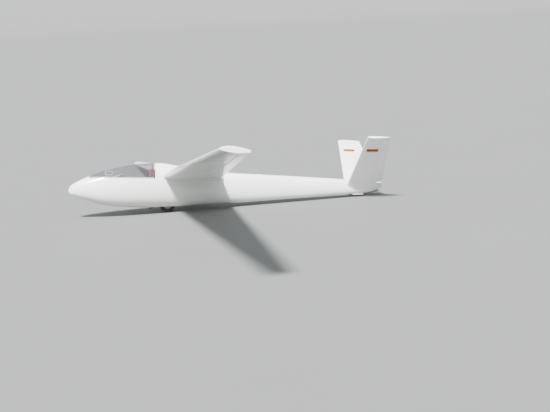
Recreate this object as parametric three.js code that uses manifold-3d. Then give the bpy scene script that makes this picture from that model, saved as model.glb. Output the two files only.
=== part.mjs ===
// Single-seat V-tail sailplane, parked on its main wheel, its tail skid and its starboard wing tip.
// Lengths are in millimetres.
// Glider frame: +X to port, +Y aft, +Z up, its origin on the centre line at the wing root's leading edge.
// The finished group turns that frame into the parked attitude, with the floor at Z = 0.

import * as THREE from 'three';
import { mergeVertices } from 'three/addons/utils/BufferGeometryUtils.js';
import Module from 'manifold-3d';

const wasm = await Module();
wasm.setup();

// Fits
const GAP = 0.3;
const CLEARANCE = 6;
const PIN_RADIUS = 5;
const PIN_HOLE_RADIUS = 5.5;
const PIN_REACH = 30;
const PIN_END_GAP = 2;
const OVERLAP = 20;
const OUTSIDE = 1;
const FAR = 9000;
const RESTING_PASSES = 12;

// Fuselage, the cockpit's cavity between two rows of the table below
const COCKPIT_ROWS = [4, 11];
const FUSELAGE_SIDES = 32;
const RING_STEP = 0.5;
const SKIN_SQUARENESS = 2.2;
const WAIST = 0.5;
const HULL_WALL = 14;
const NOSE_JOINT_Y = -1620;
const CAVITY_FRONT_Y = -1600;
const CAVITY_REAR_Y = -128;
const COCKPIT_JOINT_Y = -108;
const BOOM_JOINT_Y = 1300;
const TAIL_CONE_JOINT_Y = 4440;

// Columns: station aft, top, bottom, half width
const FUSELAGE_SECTIONS = [
  [-1880, -312, -322, 5],
  [-1866, -262, -366, 36],
  [-1830, -215, -404, 70],
  [-1750, -156, -434, 112],
  [-1620, -90, -480, 152],
  [-1492, -30, -516, 186],
  [-1254, 64, -582, 236],
  [-1054, 124, -610, 264],
  [-854, 172, -630, 285],
  [-573, 226, -642, 300],
  [-250, 252, -644, 302],
  [-38, 260, -640, 296],
  [131, 243, -634, 287],
  [333, 208, -625, 272],
  [779, 136, -597, 238],
  [1353, 82, -556, 200],
  [1812, 58, -522, 178],
  [2444, 32, -468, 151],
  [3296, -6, -400, 121],
  [3730, -28, -362, 106],
  [3989, -46, -338, 96],
  [4293, -74, -310, 80],
  [4489, -96, -262, 58],
  [4590, -106, -207, 36],
  [4630, -114, -150, 13],
];

// Canopy
const SILL_Z = -60;
const CANOPY_FRONT_Y = -1478;
const CANOPY_REAR_Y = -160;
const CANOPY_RAIL_HEIGHT = 26;
const CANOPY_RAIL_WALL = 16;
const CANOPY_GLASS_WALL = 5;
const CANOPY_BOW_DEPTH = 28;
const HINGE_STATIONS = [-720, -300];
const HINGE_AXIS_OUT = 306;
const HINGE_AXIS_UP = -50;
const HINGE_BARREL_RADIUS = 8;
const HINGE_PIN_RADIUS = 3;
const HINGE_HOLE_RADIUS = 3.5;
const HINGE_KNUCKLE = 24;
const HINGE_SIDE_GAP = 1;
const HINGE_ROOM = 3;
const HINGE_LEG_OUT = 6;
const HINGE_LEG_IN = 40;
const HINGE_LEG_BOTTOM = -100;
const HINGE_LEG_TOP = -52;
const HINGE_LEAF_IN = 60;
const HINGE_LEAF_BOTTOM = -54;
const HINGE_LEAF_TOP = -42;
const HINGE_ROOT_DEPTH = 4;

// Wing
const HALF_SPAN = 8000;
const ROOT_CHORD = 1205;
const TIP_CHORD = 460;
const TIP_SWEEP = 9;
const TIP_RISE = 353;
const CHORD_SLOPE = -0.03;
const WING_THICKNESS = 0.18;
const WING_CAMBER = 0.035;
const WING_CAMBER_AT = 0.45;
const THICKNESS_TERMS = [0.2969, -0.126, -0.3516, 0.2843, -0.1036];
const EDGE_HALF_THICKNESS = 0.0018;
const FOIL_STEPS = 13;
const WING_JOINT_X = 7880;
const WING_STATIONS = [0, 2000, 4300, 6000, 7800];
const AILERON_SPAN = [4300, 7760];
const AILERON_HINGE = 0.76;
const NOSE_FIT = 0.985;
const NOSE_SIDES = 24;

// Wing tip sections, columns: distance out from the joint, share of chord, share of thickness, droop
const TIP_SECTIONS = [
  [0, 1, 1, 0],
  [30, 1, 1, 6],
  [60, 0.995, 0.98, 18],
  [85, 0.98, 0.93, 30],
  [100, 0.97, 0.87, 36],
  [112, 0.95, 0.76, 38],
  [120, 0.92, 0.62, 36],
];
const DROOP_FULL_AT = 0.65;
const DROOP_AT_EDGE = 0.75;

// Airbrakes, columns: name, distance aft, +1 out of the top or -1 out of the bottom
const AIRBRAKE_SPAN = [2900, 3900];
const AIRBRAKES = [
  ['upper', 405, 1],
  ['lower', 490, -1],
];
const BRAKE_CAP_WIDTH = 40;
const BRAKE_CAP_THICKNESS = 6;
const BRAKE_PLATE_THICKNESS = 8;
const BRAKE_PLATE_DEPTH = 88;

// Root fairings, columns: distance out from the centre line, growth of the section
const WING_FAIRING = [
  [150, 62],
  [225, 40],
  [255, 27],
  [280, 15],
  [305, 7],
  [335, 2],
];

// V-tail panels, in a frame with +X along the panel, +Y aft and +Z along its upper normal
const TAIL_ROOT = new THREE.Vector3(120, 3861, -123);
const TAIL_DIHEDRAL = THREE.MathUtils.degToRad(40.3);
const TAIL_LENGTH = 1450;
const TAIL_SWEEP = 121;
const TAIL_ROOT_CHORD = 735;
const TAIL_TIP_CHORD = 478;
const TAIL_THICKNESS = 0.12;
const TAIL_STATIONS = [-90, 400, 900, 1450];
const TAIL_HINGE = 0.7;
const RUDDERVATOR_SPAN = [45, 1395];
const RUDDERVATOR_ROOT_CUT = 80;
const TAIL_FAIRING = [
  [-90, 26],
  [-45, 18],
  [0, 9],
  [40, 2],
];

// Main wheel, 300 mm over the tyre and 100 mm wide
const WHEEL_Y = 110;
const WHEEL_Z = -595;
const TYRE_RADIUS = 150;
const TYRE_HALF_WIDTH = 50;
const RIM_RADIUS = 76;
const AXLE_RADIUS = 10;
const AXLE_HEAD_RADIUS = 16;
const AXLE_HALF_LENGTH = 78;
const BORE_RADIUS = 10.6;
const FORK_HOLE_RADIUS = 10.5;
const WHEEL_SEGMENTS = 40;
const AXLE_SEGMENTS = 24;
const FORK_INNER = 57;
const FORK_PLATE = 6;
const FORK_BRIDGE = 10;
const FORK_HALF_LENGTH = 34;
const FORK_BELOW_AXLE = 24;
const WELL_HALF_WIDTH = 82;
const WELL_CLEARANCE = 24;

// Half sections of the tyre and the hub, columns: radius, distance from the wheel's middle plane
const TYRE_HALF_SECTION = [
  [TYRE_RADIUS, 0],
  [148, 17],
  [140, 34],
  [126, 46],
  [108, TYRE_HALF_WIDTH],
  [88, 44],
  [RIM_RADIUS, 34],
];
const HUB_HALF_SECTION = [
  [RIM_RADIUS - GAP, 0],
  [RIM_RADIUS - GAP, 38],
  [66, 38],
  [62, 14],
  [26, 14],
  [24, 46],
  [BORE_RADIUS, 46],
];

// Tail skid
const SKID_Y = [3992, 4224];
const SKID_HALF_WIDTH = 34;
const SHOE_HALF_WIDTH = 30;
const SKID_MOUNT_TOP_Z = -290;
const SKID_MOUNT_Z = -350;
const SKID_MOUNT_CORNER = 8;
const SKID_BOTTOM_Z = -386;
const SHOE_STEPS = 10;
const SHOE_FULLNESS = 0.7;

// Tow hook, its beak as [aft, up] points
const HOOK_HALF_WIDTH = 22;
const HOOK_Y = [-262, -168];
const HOOK_Z = [-666, -616];
const BEAK_HALF_WIDTH = 5;
const BEAK = [
  [-250, -656],
  [-250, -684],
  [-236, -692],
  [-214, -688],
  [-214, -680],
  [-234, -680],
  [-234, -656],
];

// Total-energy probe, columns: distance aft, height, radius up to the next row
const PROBE = [
  [2020, 52, 6],
  [2012, 330, 4.5],
  [1950, 348, 0],
];
const PROBE_SIDES = 12;
const PROBE_FOOT_HALF = [14, 30];
const PROBE_FOOT_Z = [26, 58];

// Cockpit
const WIDE = 400;
const PAN_FRONT = new THREE.Vector2(-960, -440);
const PAN_REAR = new THREE.Vector2(-470, -506);
const BACK_TOP = new THREE.Vector2(-190, -70);
const HEAD_PLATE_TOP = 150;
const HEAD_PLATE_HALF_WIDTH = 130;
const HEAD_PLATE_LAP = 60;
const SHELL_THICKNESS = 10;
const PANEL_Y = -834;
const PANEL_THICKNESS = 12;
const PANEL_Z = [-300, 20];
const LEG_ARCH_X = 140;
const LEG_ARCH_RADIUS = 118;
const COWL_FRONT = [-1134, -70];
const COWL_THICKNESS = 12;
const STICK_FOOT = 200;
const INSIDE_CLEARANCE = 42;

// Pads, columns: start and end along the seat's line, thickness, half width
const SEAT_PAD = [250, 470, 42, 180];
const BACK_PAD = [50, 500, 62, 172];
const PAD_SLOPE = 12;
const HEADREST_HALF_WIDTH = 120;

// Headrest's side view, columns: distance ahead of its plate, height
const HEADREST = [
  [GAP, -30],
  [GAP, 146],
  [40, 136],
  [62, 90],
  [62, 20],
  [40, -24],
];

// Stick and release knob, columns: radius, distance from the foot
const STICK = [
  [0, GAP],
  [34, GAP],
  [30, 14],
  [11, 34],
  [9, 170],
  [15, 176],
  [17, 220],
  [15, 276],
  [8, 286],
  [0, 288],
];
const KNOB = [
  [0, 0],
  [12, 0],
  [12, 4],
  [4, 5],
  [4, 30],
  [15, 34],
  [18, 44],
  [13, 54],
  [0, 56],
];
const KNOB_Z = -150;
const TURNED_SIDES = 16;

// Rudder pedals: their bar, and the plate as [aft, up] points from the bar
const PEDAL_BAR_Y = -1390;
const PEDAL_BAR_Z = -330;
const PEDAL_BAR_RADIUS = 9;
const PEDAL_X = 90;
const PEDAL_HALF_WIDTH = 42;
const PEDAL = [
  [-6, -10],
  [40, 110],
  [50, 106],
  [8, -14],
];

// Airbrake lever on the port wall: its rail, its arm as [aft, up] points and its grip
const LEVER_RAIL_Y = [-800, -500];
const LEVER_RAIL_Z = [-240, -215];
const LEVER_RAIL_DEPTH = 18;
const LEVER_ARM_X = [262, 272];
const LEVER_ARM = [
  [-700, -236],
  [-684, -236],
  [-650, -120],
  [-664, -116],
];
const LEVER_GRIP_X = [228, 272];
const LEVER_GRIP_AT = [-657, -114];
const LEVER_GRIP_RADIUS = 11;

// Materials, columns: colour, roughness, metalness
const FINISHES = {
  white: [0xf3f3f0, 0.25, 0],
  glass: [0xc9d2d6, 0.05, 0],
  rubber: [0x17171a, 0.85, 0],
  alloy: [0xb9bcc0, 0.35, 0.9],
  steel: [0x6d7074, 0.4, 0.9],
  red: [0xb3273a, 0.85, 0],
  pale: [0xd9dadb, 0.6, 0],
  black: [0x1b1c1e, 0.6, 0],
  blue: [0x2050a0, 0.5, 0],
  yellow: [0xe0b020, 0.5, 0],
};

// Solids

function facingOut(geometry) {
  const index = geometry.index;
  const position = geometry.attributes.position;
  const [a, b, c] = [new THREE.Vector3(), new THREE.Vector3(), new THREE.Vector3()];
  let volume = 0;
  for (let i = 0; i < index.count; i += 3) {
    a.fromBufferAttribute(position, index.getX(i));
    b.fromBufferAttribute(position, index.getX(i + 1));
    c.fromBufferAttribute(position, index.getX(i + 2));
    volume += a.dot(b.cross(c));
  }
  if (volume < 0) index.array.reverse();
  return geometry;
}

function bare(geometry) {
  const copy = geometry.clone();
  copy.deleteAttribute('normal');
  copy.deleteAttribute('uv');
  return facingOut(mergeVertices(copy));
}

function solid(geometry) {
  const merged = bare(geometry);
  return new wasm.Manifold(new wasm.Mesh({
    numProp: 3,
    vertProperties: new Float32Array(merged.attributes.position.array),
    triVerts: new Uint32Array(merged.index.array),
  }));
}

function geometryOf(manifold) {
  const { vertProperties, triVerts } = manifold.getMesh();
  const geometry = new THREE.BufferGeometry();
  geometry.setAttribute('position', new THREE.BufferAttribute(vertProperties, 3));
  geometry.setIndex(new THREE.BufferAttribute(triVerts, 1));
  return geometry;
}

function mirrored(geometry) {
  return facingOut(geometry.clone().scale(-1, 1, 1));
}

function block(x0, x1, y0, y1, z0, z1) {
  const geometry = new THREE.BoxGeometry(x1 - x0, y1 - y0, z1 - z0);
  return solid(geometry.translate((x0 + x1) / 2, (y0 + y1) / 2, (z0 + z1) / 2));
}

function rod(from, to, radius, sides = 16) {
  const along = to.clone().sub(from);
  const geometry = new THREE.CylinderGeometry(radius, radius, along.length(), sides);
  geometry.applyQuaternion(new THREE.Quaternion().setFromUnitVectors(
    new THREE.Vector3(0, 1, 0), along.clone().normalize()));
  return solid(geometry.translate(...from.clone().add(to).multiplyScalar(0.5)));
}

// Side profile of [aft, up] points, extruded across the centre line from x0 to x1
function profile(points, x0, x1) {
  const shape = new THREE.Shape(points.map(([y, z]) => new THREE.Vector2(y, z)));
  const geometry = new THREE.ExtrudeGeometry(shape, { depth: x1 - x0, bevelEnabled: false });
  geometry.applyMatrix4(new THREE.Matrix4().makeBasis(
    new THREE.Vector3(0, 1, 0), new THREE.Vector3(0, 0, 1), new THREE.Vector3(1, 0, 0)));
  return solid(geometry.translate(x0, 0, 0));
}

// Body of revolution about the X axis through a centre, from [radius, along] points
function turned(points, centre, segments = WHEEL_SEGMENTS) {
  const geometry = new THREE.LatheGeometry(points.map(([r, x]) => new THREE.Vector2(r, x)), segments);
  return solid(geometry.rotateZ(-Math.PI / 2).translate(...centre));
}

// Closed body through rings of equal length, its end rings flat in the two named coordinates
function loft(rings, across, up) {
  const count = rings[0].length;
  const vertices = rings.flat().flatMap((point) => point.toArray());
  const index = [];
  for (let r = 0; r < rings.length - 1; r++) {
    for (let k = 0; k < count; k++) {
      const a = r * count + k;
      const b = r * count + (k + 1) % count;
      index.push(a, b, b + count, a, b + count, a + count);
    }
  }
  const last = (rings.length - 1) * count;
  const flat = (ring) => ring.map((point) => new THREE.Vector2(point[across], point[up]));
  for (const [a, b, c] of THREE.ShapeUtils.triangulateShape(flat(rings[0]), [])) index.push(a, c, b);
  for (const [a, b, c] of THREE.ShapeUtils.triangulateShape(flat(rings.at(-1)), [])) {
    index.push(last + a, last + b, last + c);
  }
  const geometry = new THREE.BufferGeometry();
  geometry.setAttribute('position', new THREE.Float32BufferAttribute(vertices, 3));
  geometry.setIndex(index);
  return solid(geometry);
}

// Fuselage

// Section at a row number with a fraction, smooth through the table's rows
function sectionAt(place) {
  const row = Math.min(Math.floor(place), FUSELAGE_SECTIONS.length - 2);
  const f = place - row;
  const pick = (i) => FUSELAGE_SECTIONS[THREE.MathUtils.clamp(i, 0, FUSELAGE_SECTIONS.length - 1)];
  return pick(row).map((value, column) => {
    const next = pick(row + 1)[column];
    const slope0 = (next - pick(row - 1)[column]) / 2;
    const slope1 = (pick(row + 2)[column] - value) / 2;
    const g = 1 - f;
    const ends = value * g * g * (1 + 2 * f) + next * f * f * (3 - 2 * f);
    return ends + slope0 * f * g * g - slope1 * f * f * g;
  });
}

function superPower(value) {
  return Math.sign(value) * Math.abs(value) ** (2 / SKIN_SQUARENESS);
}

function fuselageRing([station, top, bottom, half], grow) {
  const middle = bottom + WAIST * (top - bottom);
  return Array.from({ length: FUSELAGE_SIDES }, (_, k) => {
    const angle = 2 * Math.PI * k / FUSELAGE_SIDES;
    const reach = angle < Math.PI ? top - middle : middle - bottom;
    const out = (half + grow) * superPower(Math.cos(angle));
    return new THREE.Vector3(out, station, middle + (reach + grow) * superPower(Math.sin(angle)));
  });
}

// Fuselage between two rows of the table, its skin moved out by grow
function fuselage(grow = 0, firstRow = 0, lastRow = FUSELAGE_SECTIONS.length - 1) {
  const rings = [];
  for (let place = firstRow; place <= lastRow; place += RING_STEP) {
    rings.push(fuselageRing(sectionAt(place), grow));
  }
  return loft(rings, 'x', 'z');
}

function slice(y0, y1) {
  return block(-FAR, FAR, y0, y1, -FAR, FAR);
}

const skin = fuselage();
const skinAround = fuselage(GAP);
const inside = (depth) => fuselage(-depth, ...COCKPIT_ROWS);
const aboveSill = block(-FAR, FAR, CANOPY_FRONT_Y, CANOPY_REAR_Y, SILL_Z, FAR);
const belowSill = block(-FAR, FAR, -FAR, FAR, -FAR, SILL_Z - CLEARANCE);
const liningBelow = inside(HULL_WALL + GAP).intersect(belowSill);
const liningAbove = inside(INSIDE_CLEARANCE);
const lining = liningBelow.add(liningAbove);

// Canopy hinges, on the starboard sill

function hingeRod(y0, y1, radius) {
  return rod(new THREE.Vector3(-HINGE_AXIS_OUT, y0, HINGE_AXIS_UP),
    new THREE.Vector3(-HINGE_AXIS_OUT, y1, HINGE_AXIS_UP), radius);
}

function hullKnuckles(station) {
  const half = 1.5 * HINGE_KNUCKLE;
  const gap = HINGE_KNUCKLE / 2 + HINGE_SIDE_GAP;
  const barrels = hingeRod(station - half, station + half, HINGE_BARREL_RADIUS);
  const leg = block(-HINGE_AXIS_OUT - HINGE_LEG_OUT, -HINGE_AXIS_OUT + HINGE_LEG_IN,
    station - half, station + half, HINGE_LEG_BOTTOM, HINGE_LEG_TOP)
    .subtract(aboveSill.intersect(skinAround))
    .subtract(inside(HULL_WALL - HINGE_ROOT_DEPTH));
  const slot = block(-FAR, FAR, station - gap, station + gap, -FAR, FAR);
  return barrels.add(leg).subtract(slot).add(hingeRod(station - half, station + half, HINGE_PIN_RADIUS));
}

function canopyKnuckle(station) {
  const half = HINGE_KNUCKLE / 2;
  const barrel = hingeRod(station - half, station + half, HINGE_BARREL_RADIUS);
  const leaf = block(-HINGE_AXIS_OUT, -HINGE_AXIS_OUT + HINGE_LEAF_IN, station - half, station + half,
    HINGE_LEAF_BOTTOM, HINGE_LEAF_TOP).subtract(inside(CANOPY_RAIL_WALL - HINGE_ROOT_DEPTH));
  const past = half + HINGE_SIDE_GAP;
  return barrel.add(leaf).subtract(hingeRod(station - past, station + past, HINGE_HOLE_RADIUS));
}

// Hull shell of the cockpit, with its canopy opening
function cockpitHull() {
  const cavity = inside(HULL_WALL).intersect(slice(CAVITY_FRONT_Y, CAVITY_REAR_Y));
  let hull = skin.intersect(slice(NOSE_JOINT_Y + GAP, COCKPIT_JOINT_Y));
  hull = hull.subtract(cavity).subtract(aboveSill);
  for (const station of HINGE_STATIONS) hull = hull.add(hullKnuckles(station));
  return hull;
}

function wheelWell() {
  const reach = TYRE_RADIUS + WELL_CLEARANCE;
  const [x, y] = [WELL_HALF_WIDTH, WHEEL_Y];
  return block(-x, x, y - reach, y + reach, -FAR, WHEEL_Z + reach);
}

// Canopy frame: a rail on each sill and a bow at each end
function canopyFrame() {
  const shell = skin.subtract(inside(CANOPY_RAIL_WALL));
  const [y0, y1] = [CANOPY_FRONT_Y + GAP, CANOPY_REAR_Y - GAP];
  const rails = block(-FAR, FAR, y0, y1, SILL_Z + GAP, SILL_Z + CANOPY_RAIL_HEIGHT);
  const bows = block(-FAR, FAR, y0, CANOPY_FRONT_Y + CANOPY_BOW_DEPTH, SILL_Z + GAP, FAR)
    .add(block(-FAR, FAR, CANOPY_REAR_Y - CANOPY_BOW_DEPTH, y1, SILL_Z + GAP, FAR));
  let frame = shell.intersect(rails.add(bows));
  const half = 1.5 * HINGE_KNUCKLE + HINGE_SIDE_GAP;
  for (const station of HINGE_STATIONS) {
    const room = hingeRod(station - half, station + half, HINGE_BARREL_RADIUS + HINGE_ROOM)
      .intersect(block(-FAR, 0, -FAR, FAR, -FAR, HINGE_LEAF_TOP));
    frame = frame.subtract(room).add(canopyKnuckle(station));
  }
  return frame;
}

function canopyGlass() {
  const margin = CANOPY_BOW_DEPTH + GAP;
  const room = block(-FAR, FAR, CANOPY_FRONT_Y + margin, CANOPY_REAR_Y - margin,
    SILL_Z + CANOPY_RAIL_HEIGHT + GAP, FAR);
  return skin.subtract(inside(CANOPY_GLASS_WALL)).intersect(room);
}

// Wing

// Four-digit section for a chord of 1, as [aft, up] points from the upper trailing edge to the lower one
function aerofoil(thickness, camber, camberAt) {
  const upper = [];
  const lower = [];
  for (let i = 0; i <= FOIL_STEPS; i++) {
    const x = (1 - Math.cos(Math.PI * i / FOIL_STEPS)) / 2;
    const half = halfThickness(thickness, x) + EDGE_HALF_THICKNESS * x;
    const mean = meanLine(camber, camberAt, x);
    upper.push([x, mean + half]);
    lower.push([x, mean - half]);
  }
  return [...upper.reverse(), ...lower.slice(1)];
}

function halfThickness(thickness, x) {
  const [root, ...powers] = THICKNESS_TERMS;
  const sum = powers.reduce((total, term, i) => total + term * x ** (i + 1), root * Math.sqrt(x));
  return 5 * thickness * sum;
}

function meanLine(camber, camberAt, x) {
  const front = x < camberAt;
  const scale = camber / (front ? camberAt : 1 - camberAt) ** 2;
  return scale * ((front ? 0 : 1 - 2 * camberAt) + 2 * camberAt * x - x * x);
}

function grown(points, distance) {
  return points.map(([a, u], i) => {
    const [a0, u0] = points[(i + points.length - 1) % points.length];
    const [a1, u1] = points[(i + 1) % points.length];
    const length = Math.hypot(a1 - a0, u1 - u0);
    return [a + distance * (u1 - u0) / length, u - distance * (a1 - a0) / length];
  });
}

const WING_FOIL = aerofoil(WING_THICKNESS, WING_CAMBER, WING_CAMBER_AT);
const TAIL_FOIL = aerofoil(TAIL_THICKNESS, 0, 0.5);

// A tapered surface: its section, its leading edge and its chord at a distance out
const WING = {
  foil: WING_FOIL,
  thickness: WING_THICKNESS,
  mean: meanLine(WING_CAMBER, WING_CAMBER_AT, AILERON_HINGE),
  hinge: AILERON_HINGE,
  chord: (x) => THREE.MathUtils.lerp(ROOT_CHORD, TIP_CHORD, x / HALF_SPAN),
  point: (x, a, u) => new THREE.Vector3(
    x, TIP_SWEEP * x / HALF_SPAN + a, TIP_RISE * x / HALF_SPAN + u + CHORD_SLOPE * a),
};
const TAIL = {
  foil: TAIL_FOIL,
  thickness: TAIL_THICKNESS,
  mean: 0,
  hinge: TAIL_HINGE,
  chord: (x) => THREE.MathUtils.lerp(TAIL_ROOT_CHORD, TAIL_TIP_CHORD, x / TAIL_LENGTH),
  point: (x, a, u) => new THREE.Vector3(x, TAIL_SWEEP * x / TAIL_LENGTH + a, u),
};

function surfaceRing(surface, x, grow = 0, chordShare = 1, thicknessShare = 1) {
  const chord = surface.chord(x);
  const aft = chord * (1 - chordShare) / 2;
  const loop = surface.foil.map(([a, u]) => [aft + a * chord * chordShare, u * chord * thicknessShare]);
  return grown(loop, grow).map(([a, u]) => surface.point(x, a, u));
}

function surfaceBody(surface, stations, grow = 0) {
  return loft(stations.map((x) => surfaceRing(surface, x, grow)), 'y', 'z');
}

// Round nose of a control surface about its hinge line, between two distances out
function hingeNose(surface, x0, x1, extra) {
  const circles = [x0, x1].map((x) => {
    const chord = surface.chord(x);
    const radius = halfThickness(surface.thickness, surface.hinge) * NOSE_FIT * chord + extra;
    return Array.from({ length: NOSE_SIDES }, (_, k) => {
      const angle = 2 * Math.PI * k / NOSE_SIDES;
      return surface.point(x, surface.hinge * chord + radius * Math.cos(angle),
        surface.mean * chord + radius * Math.sin(angle));
    });
  });
  return loft(circles, 'y', 'z');
}

// Everything aft of the hinge line, between two distances out
function behindHinge(surface, x0, x1, innerCut = 0) {
  const reach = surface.chord(0) / 2;
  const ring = (x, shift) => [[0, -1], [1, -1], [1, 1], [0, 1]].map(([a, u]) => {
    const point = surface.point(x, surface.hinge * surface.chord(x) + a * reach, u * reach);
    point.x += shift * a;
    return point;
  });
  const shift = innerCut * reach / (surface.chord(0) * (1 - surface.hinge));
  return loft([ring(x0, shift), ring(x1, 0)], 'y', 'z');
}

function hingePoint(surface, x) {
  const chord = surface.chord(x);
  return surface.point(x, surface.hinge * chord, surface.mean * chord);
}

// Fixed part and moving part of a surface, the moving part on a pin at each end
function hinged(surface, fixed, whole, [x0, x1], innerCut = 0) {
  const room = behindHinge(surface, x0, x1).add(hingeNose(surface, x0, x1, CLEARANCE));
  const inner = x0 + CLEARANCE;
  const outer = x1 - CLEARANCE;
  const kept = behindHinge(surface, inner, outer, innerCut).add(hingeNose(surface, inner, outer, 0));
  const pin = (from, to, radius) => rod(hingePoint(surface, from), hingePoint(surface, to), radius);
  const hole = PIN_REACH + PIN_END_GAP;
  const still = fixed.subtract(room)
    .add(pin(x0 - OVERLAP, x0 + PIN_REACH, PIN_RADIUS))
    .add(pin(x1 - PIN_REACH, x1 + OVERLAP, PIN_RADIUS));
  const moving = whole.intersect(kept)
    .subtract(pin(x0, x0 + hole, PIN_HOLE_RADIUS))
    .subtract(pin(x1 - hole, x1, PIN_HOLE_RADIUS));
  return [still, moving];
}

const wholeWing = surfaceBody(WING, [...WING_STATIONS, WING_JOINT_X]);
const shifted = (distance) => solid(geometryOf(wholeWing).translate(0, 0, distance));

// Layer of the wing between two depths under its top (side 1) or its bottom (side -1)
function wingLayer(side, from, to) {
  return shifted(-side * from).subtract(shifted(-side * to));
}

// Upright slab along the airbrakes, its ends moved out by margin
function brakeSlab(aft, width, margin) {
  const [x0, x1] = AIRBRAKE_SPAN;
  return block(x0 - margin, x1 + margin, aft - width / 2, aft + width / 2, -FAR, FAR);
}

function airbrake(aft, side) {
  const cap = wingLayer(side, 0, BRAKE_CAP_THICKNESS).intersect(brakeSlab(aft, BRAKE_CAP_WIDTH, 0));
  const plate = wingLayer(side, BRAKE_CAP_THICKNESS / 2, BRAKE_PLATE_DEPTH)
    .intersect(brakeSlab(aft, BRAKE_PLATE_THICKNESS, -CLEARANCE));
  return cap.add(plate);
}

// Recess for an airbrake's cap and slot for its plate
function airbrakeRoom(aft, side) {
  const recess = wingLayer(side, -OUTSIDE, BRAKE_CAP_THICKNESS + GAP)
    .intersect(brakeSlab(aft, BRAKE_CAP_WIDTH + 2 * CLEARANCE, CLEARANCE));
  const slot = wingLayer(side, -OUTSIDE, BRAKE_PLATE_DEPTH + CLEARANCE)
    .intersect(brakeSlab(aft, BRAKE_PLATE_THICKNESS + 2 * CLEARANCE, 0));
  return recess.add(slot);
}

function wingPanel() {
  let fixed = wholeWing.subtract(skinAround);
  for (const [, aft, side] of AIRBRAKES) fixed = fixed.subtract(airbrakeRoom(aft, side));
  return hinged(WING, fixed, wholeWing, AILERON_SPAN);
}

// Share of the tip's droop at a point of the lower skin, for a chord of 1
function droopShare(aft) {
  if (aft < DROOP_FULL_AT) return THREE.MathUtils.smoothstep(aft, 0, DROOP_FULL_AT);
  return THREE.MathUtils.mapLinear(aft, DROOP_FULL_AT, 1, 1, DROOP_AT_EDGE);
}

function wingTip() {
  const rings = TIP_SECTIONS.map(([out, chordShare, thicknessShare, droop]) => {
    const ring = surfaceRing(WING, WING_JOINT_X + Math.max(out, GAP), 0, chordShare, thicknessShare);
    return ring.map((point, i) => {
      if (i > FOIL_STEPS) point.z -= droop * droopShare(WING_FOIL[i][0]);
      return point;
    });
  });
  return loft(rings, 'y', 'z');
}

// Fillet between a surface and the fuselage
function rootFairing(surface, table, place) {
  const outer = loft(table.map(([x, grow]) => surfaceRing(surface, x, grow)), 'y', 'z');
  const hole = surfaceBody(surface, [table[0][0] - OUTSIDE, table.at(-1)[0] + OUTSIDE], GAP);
  return placed(outer.subtract(hole), place).subtract(skinAround);
}

function placed(body, place) {
  return solid(geometryOf(body).applyMatrix4(place));
}

// V-tail
const tailFrame = new THREE.Matrix4().makeRotationY(-TAIL_DIHEDRAL).setPosition(TAIL_ROOT);

function tailPanel() {
  const whole = surfaceBody(TAIL, TAIL_STATIONS);
  return hinged(TAIL, whole, whole, RUDDERVATOR_SPAN, RUDDERVATOR_ROOT_CUT)
    .map((body) => placed(body, tailFrame));
}

// Main wheel
const axleCentre = new THREE.Vector3(0, WHEEL_Y, WHEEL_Z);

// Wheel part from its half section, closed along its inner face
function wheelPart(halfSection) {
  const other = halfSection.slice(1).reverse().map(([radius, along]) => [radius, -along]);
  const first = other[0];
  return turned([...other, ...halfSection, first], axleCentre);
}

function axle() {
  const seat = FORK_INNER + FORK_PLATE + GAP;
  return turned([
    [0, -AXLE_HALF_LENGTH],
    [AXLE_HEAD_RADIUS, -AXLE_HALF_LENGTH],
    [AXLE_HEAD_RADIUS, -seat],
    [AXLE_RADIUS, -seat],
    [AXLE_RADIUS, seat],
    [AXLE_HEAD_RADIUS, seat],
    [AXLE_HEAD_RADIUS, AXLE_HALF_LENGTH],
    [0, AXLE_HALF_LENGTH],
  ], axleCentre, AXLE_SEGMENTS);
}

// Two plates that carry the axle, joined by a bridge against the well's roof
function wheelFork() {
  const roof = WHEEL_Z + TYRE_RADIUS + WELL_CLEARANCE - GAP;
  const outer = FORK_INNER + FORK_PLATE;
  const [y0, y1] = [WHEEL_Y - FORK_HALF_LENGTH, WHEEL_Y + FORK_HALF_LENGTH];
  const bottom = WHEEL_Z - FORK_BELOW_AXLE;
  const from = new THREE.Vector3(-outer - OUTSIDE, WHEEL_Y, WHEEL_Z);
  const to = new THREE.Vector3(outer + OUTSIDE, WHEEL_Y, WHEEL_Z);
  return block(-outer, outer, y0, y1, roof - FORK_BRIDGE, roof)
    .add(block(-outer, -FORK_INNER, y0, y1, bottom, roof))
    .add(block(FORK_INNER, outer, y0, y1, bottom, roof))
    .subtract(rod(from, to, FORK_HOLE_RADIUS, AXLE_SEGMENTS));
}

// Tail skid
function skidMount() {
  const [y0, y1] = SKID_Y;
  const corner = SKID_MOUNT_CORNER;
  const body = profile([
    [y0, SKID_MOUNT_TOP_Z],
    [y0, SKID_MOUNT_Z + corner],
    [y0 + corner, SKID_MOUNT_Z],
    [y1 - corner, SKID_MOUNT_Z],
    [y1, SKID_MOUNT_Z + corner],
    [y1, SKID_MOUNT_TOP_Z],
  ], -SKID_HALF_WIDTH, SKID_HALF_WIDTH);
  return body.subtract(skinAround);
}

function skidShoe() {
  const [y0, y1] = SKID_Y;
  const top = SKID_MOUNT_Z - GAP;
  const depth = top - SKID_BOTTOM_Z;
  const points = [[y1, top], [y0, top]];
  for (let i = 1; i < SHOE_STEPS; i++) {
    const share = i / SHOE_STEPS;
    const drop = depth * Math.sin(Math.PI * share) ** SHOE_FULLNESS;
    points.push([THREE.MathUtils.lerp(y0, y1, share), top - drop]);
  }
  return profile(points, -SHOE_HALF_WIDTH, SHOE_HALF_WIDTH);
}

// Tow hook under the hull
function towHook() {
  const housing = block(-HOOK_HALF_WIDTH, HOOK_HALF_WIDTH, ...HOOK_Y, ...HOOK_Z);
  return housing.add(profile(BEAK, -BEAK_HALF_WIDTH, BEAK_HALF_WIDTH)).subtract(skinAround);
}

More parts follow.
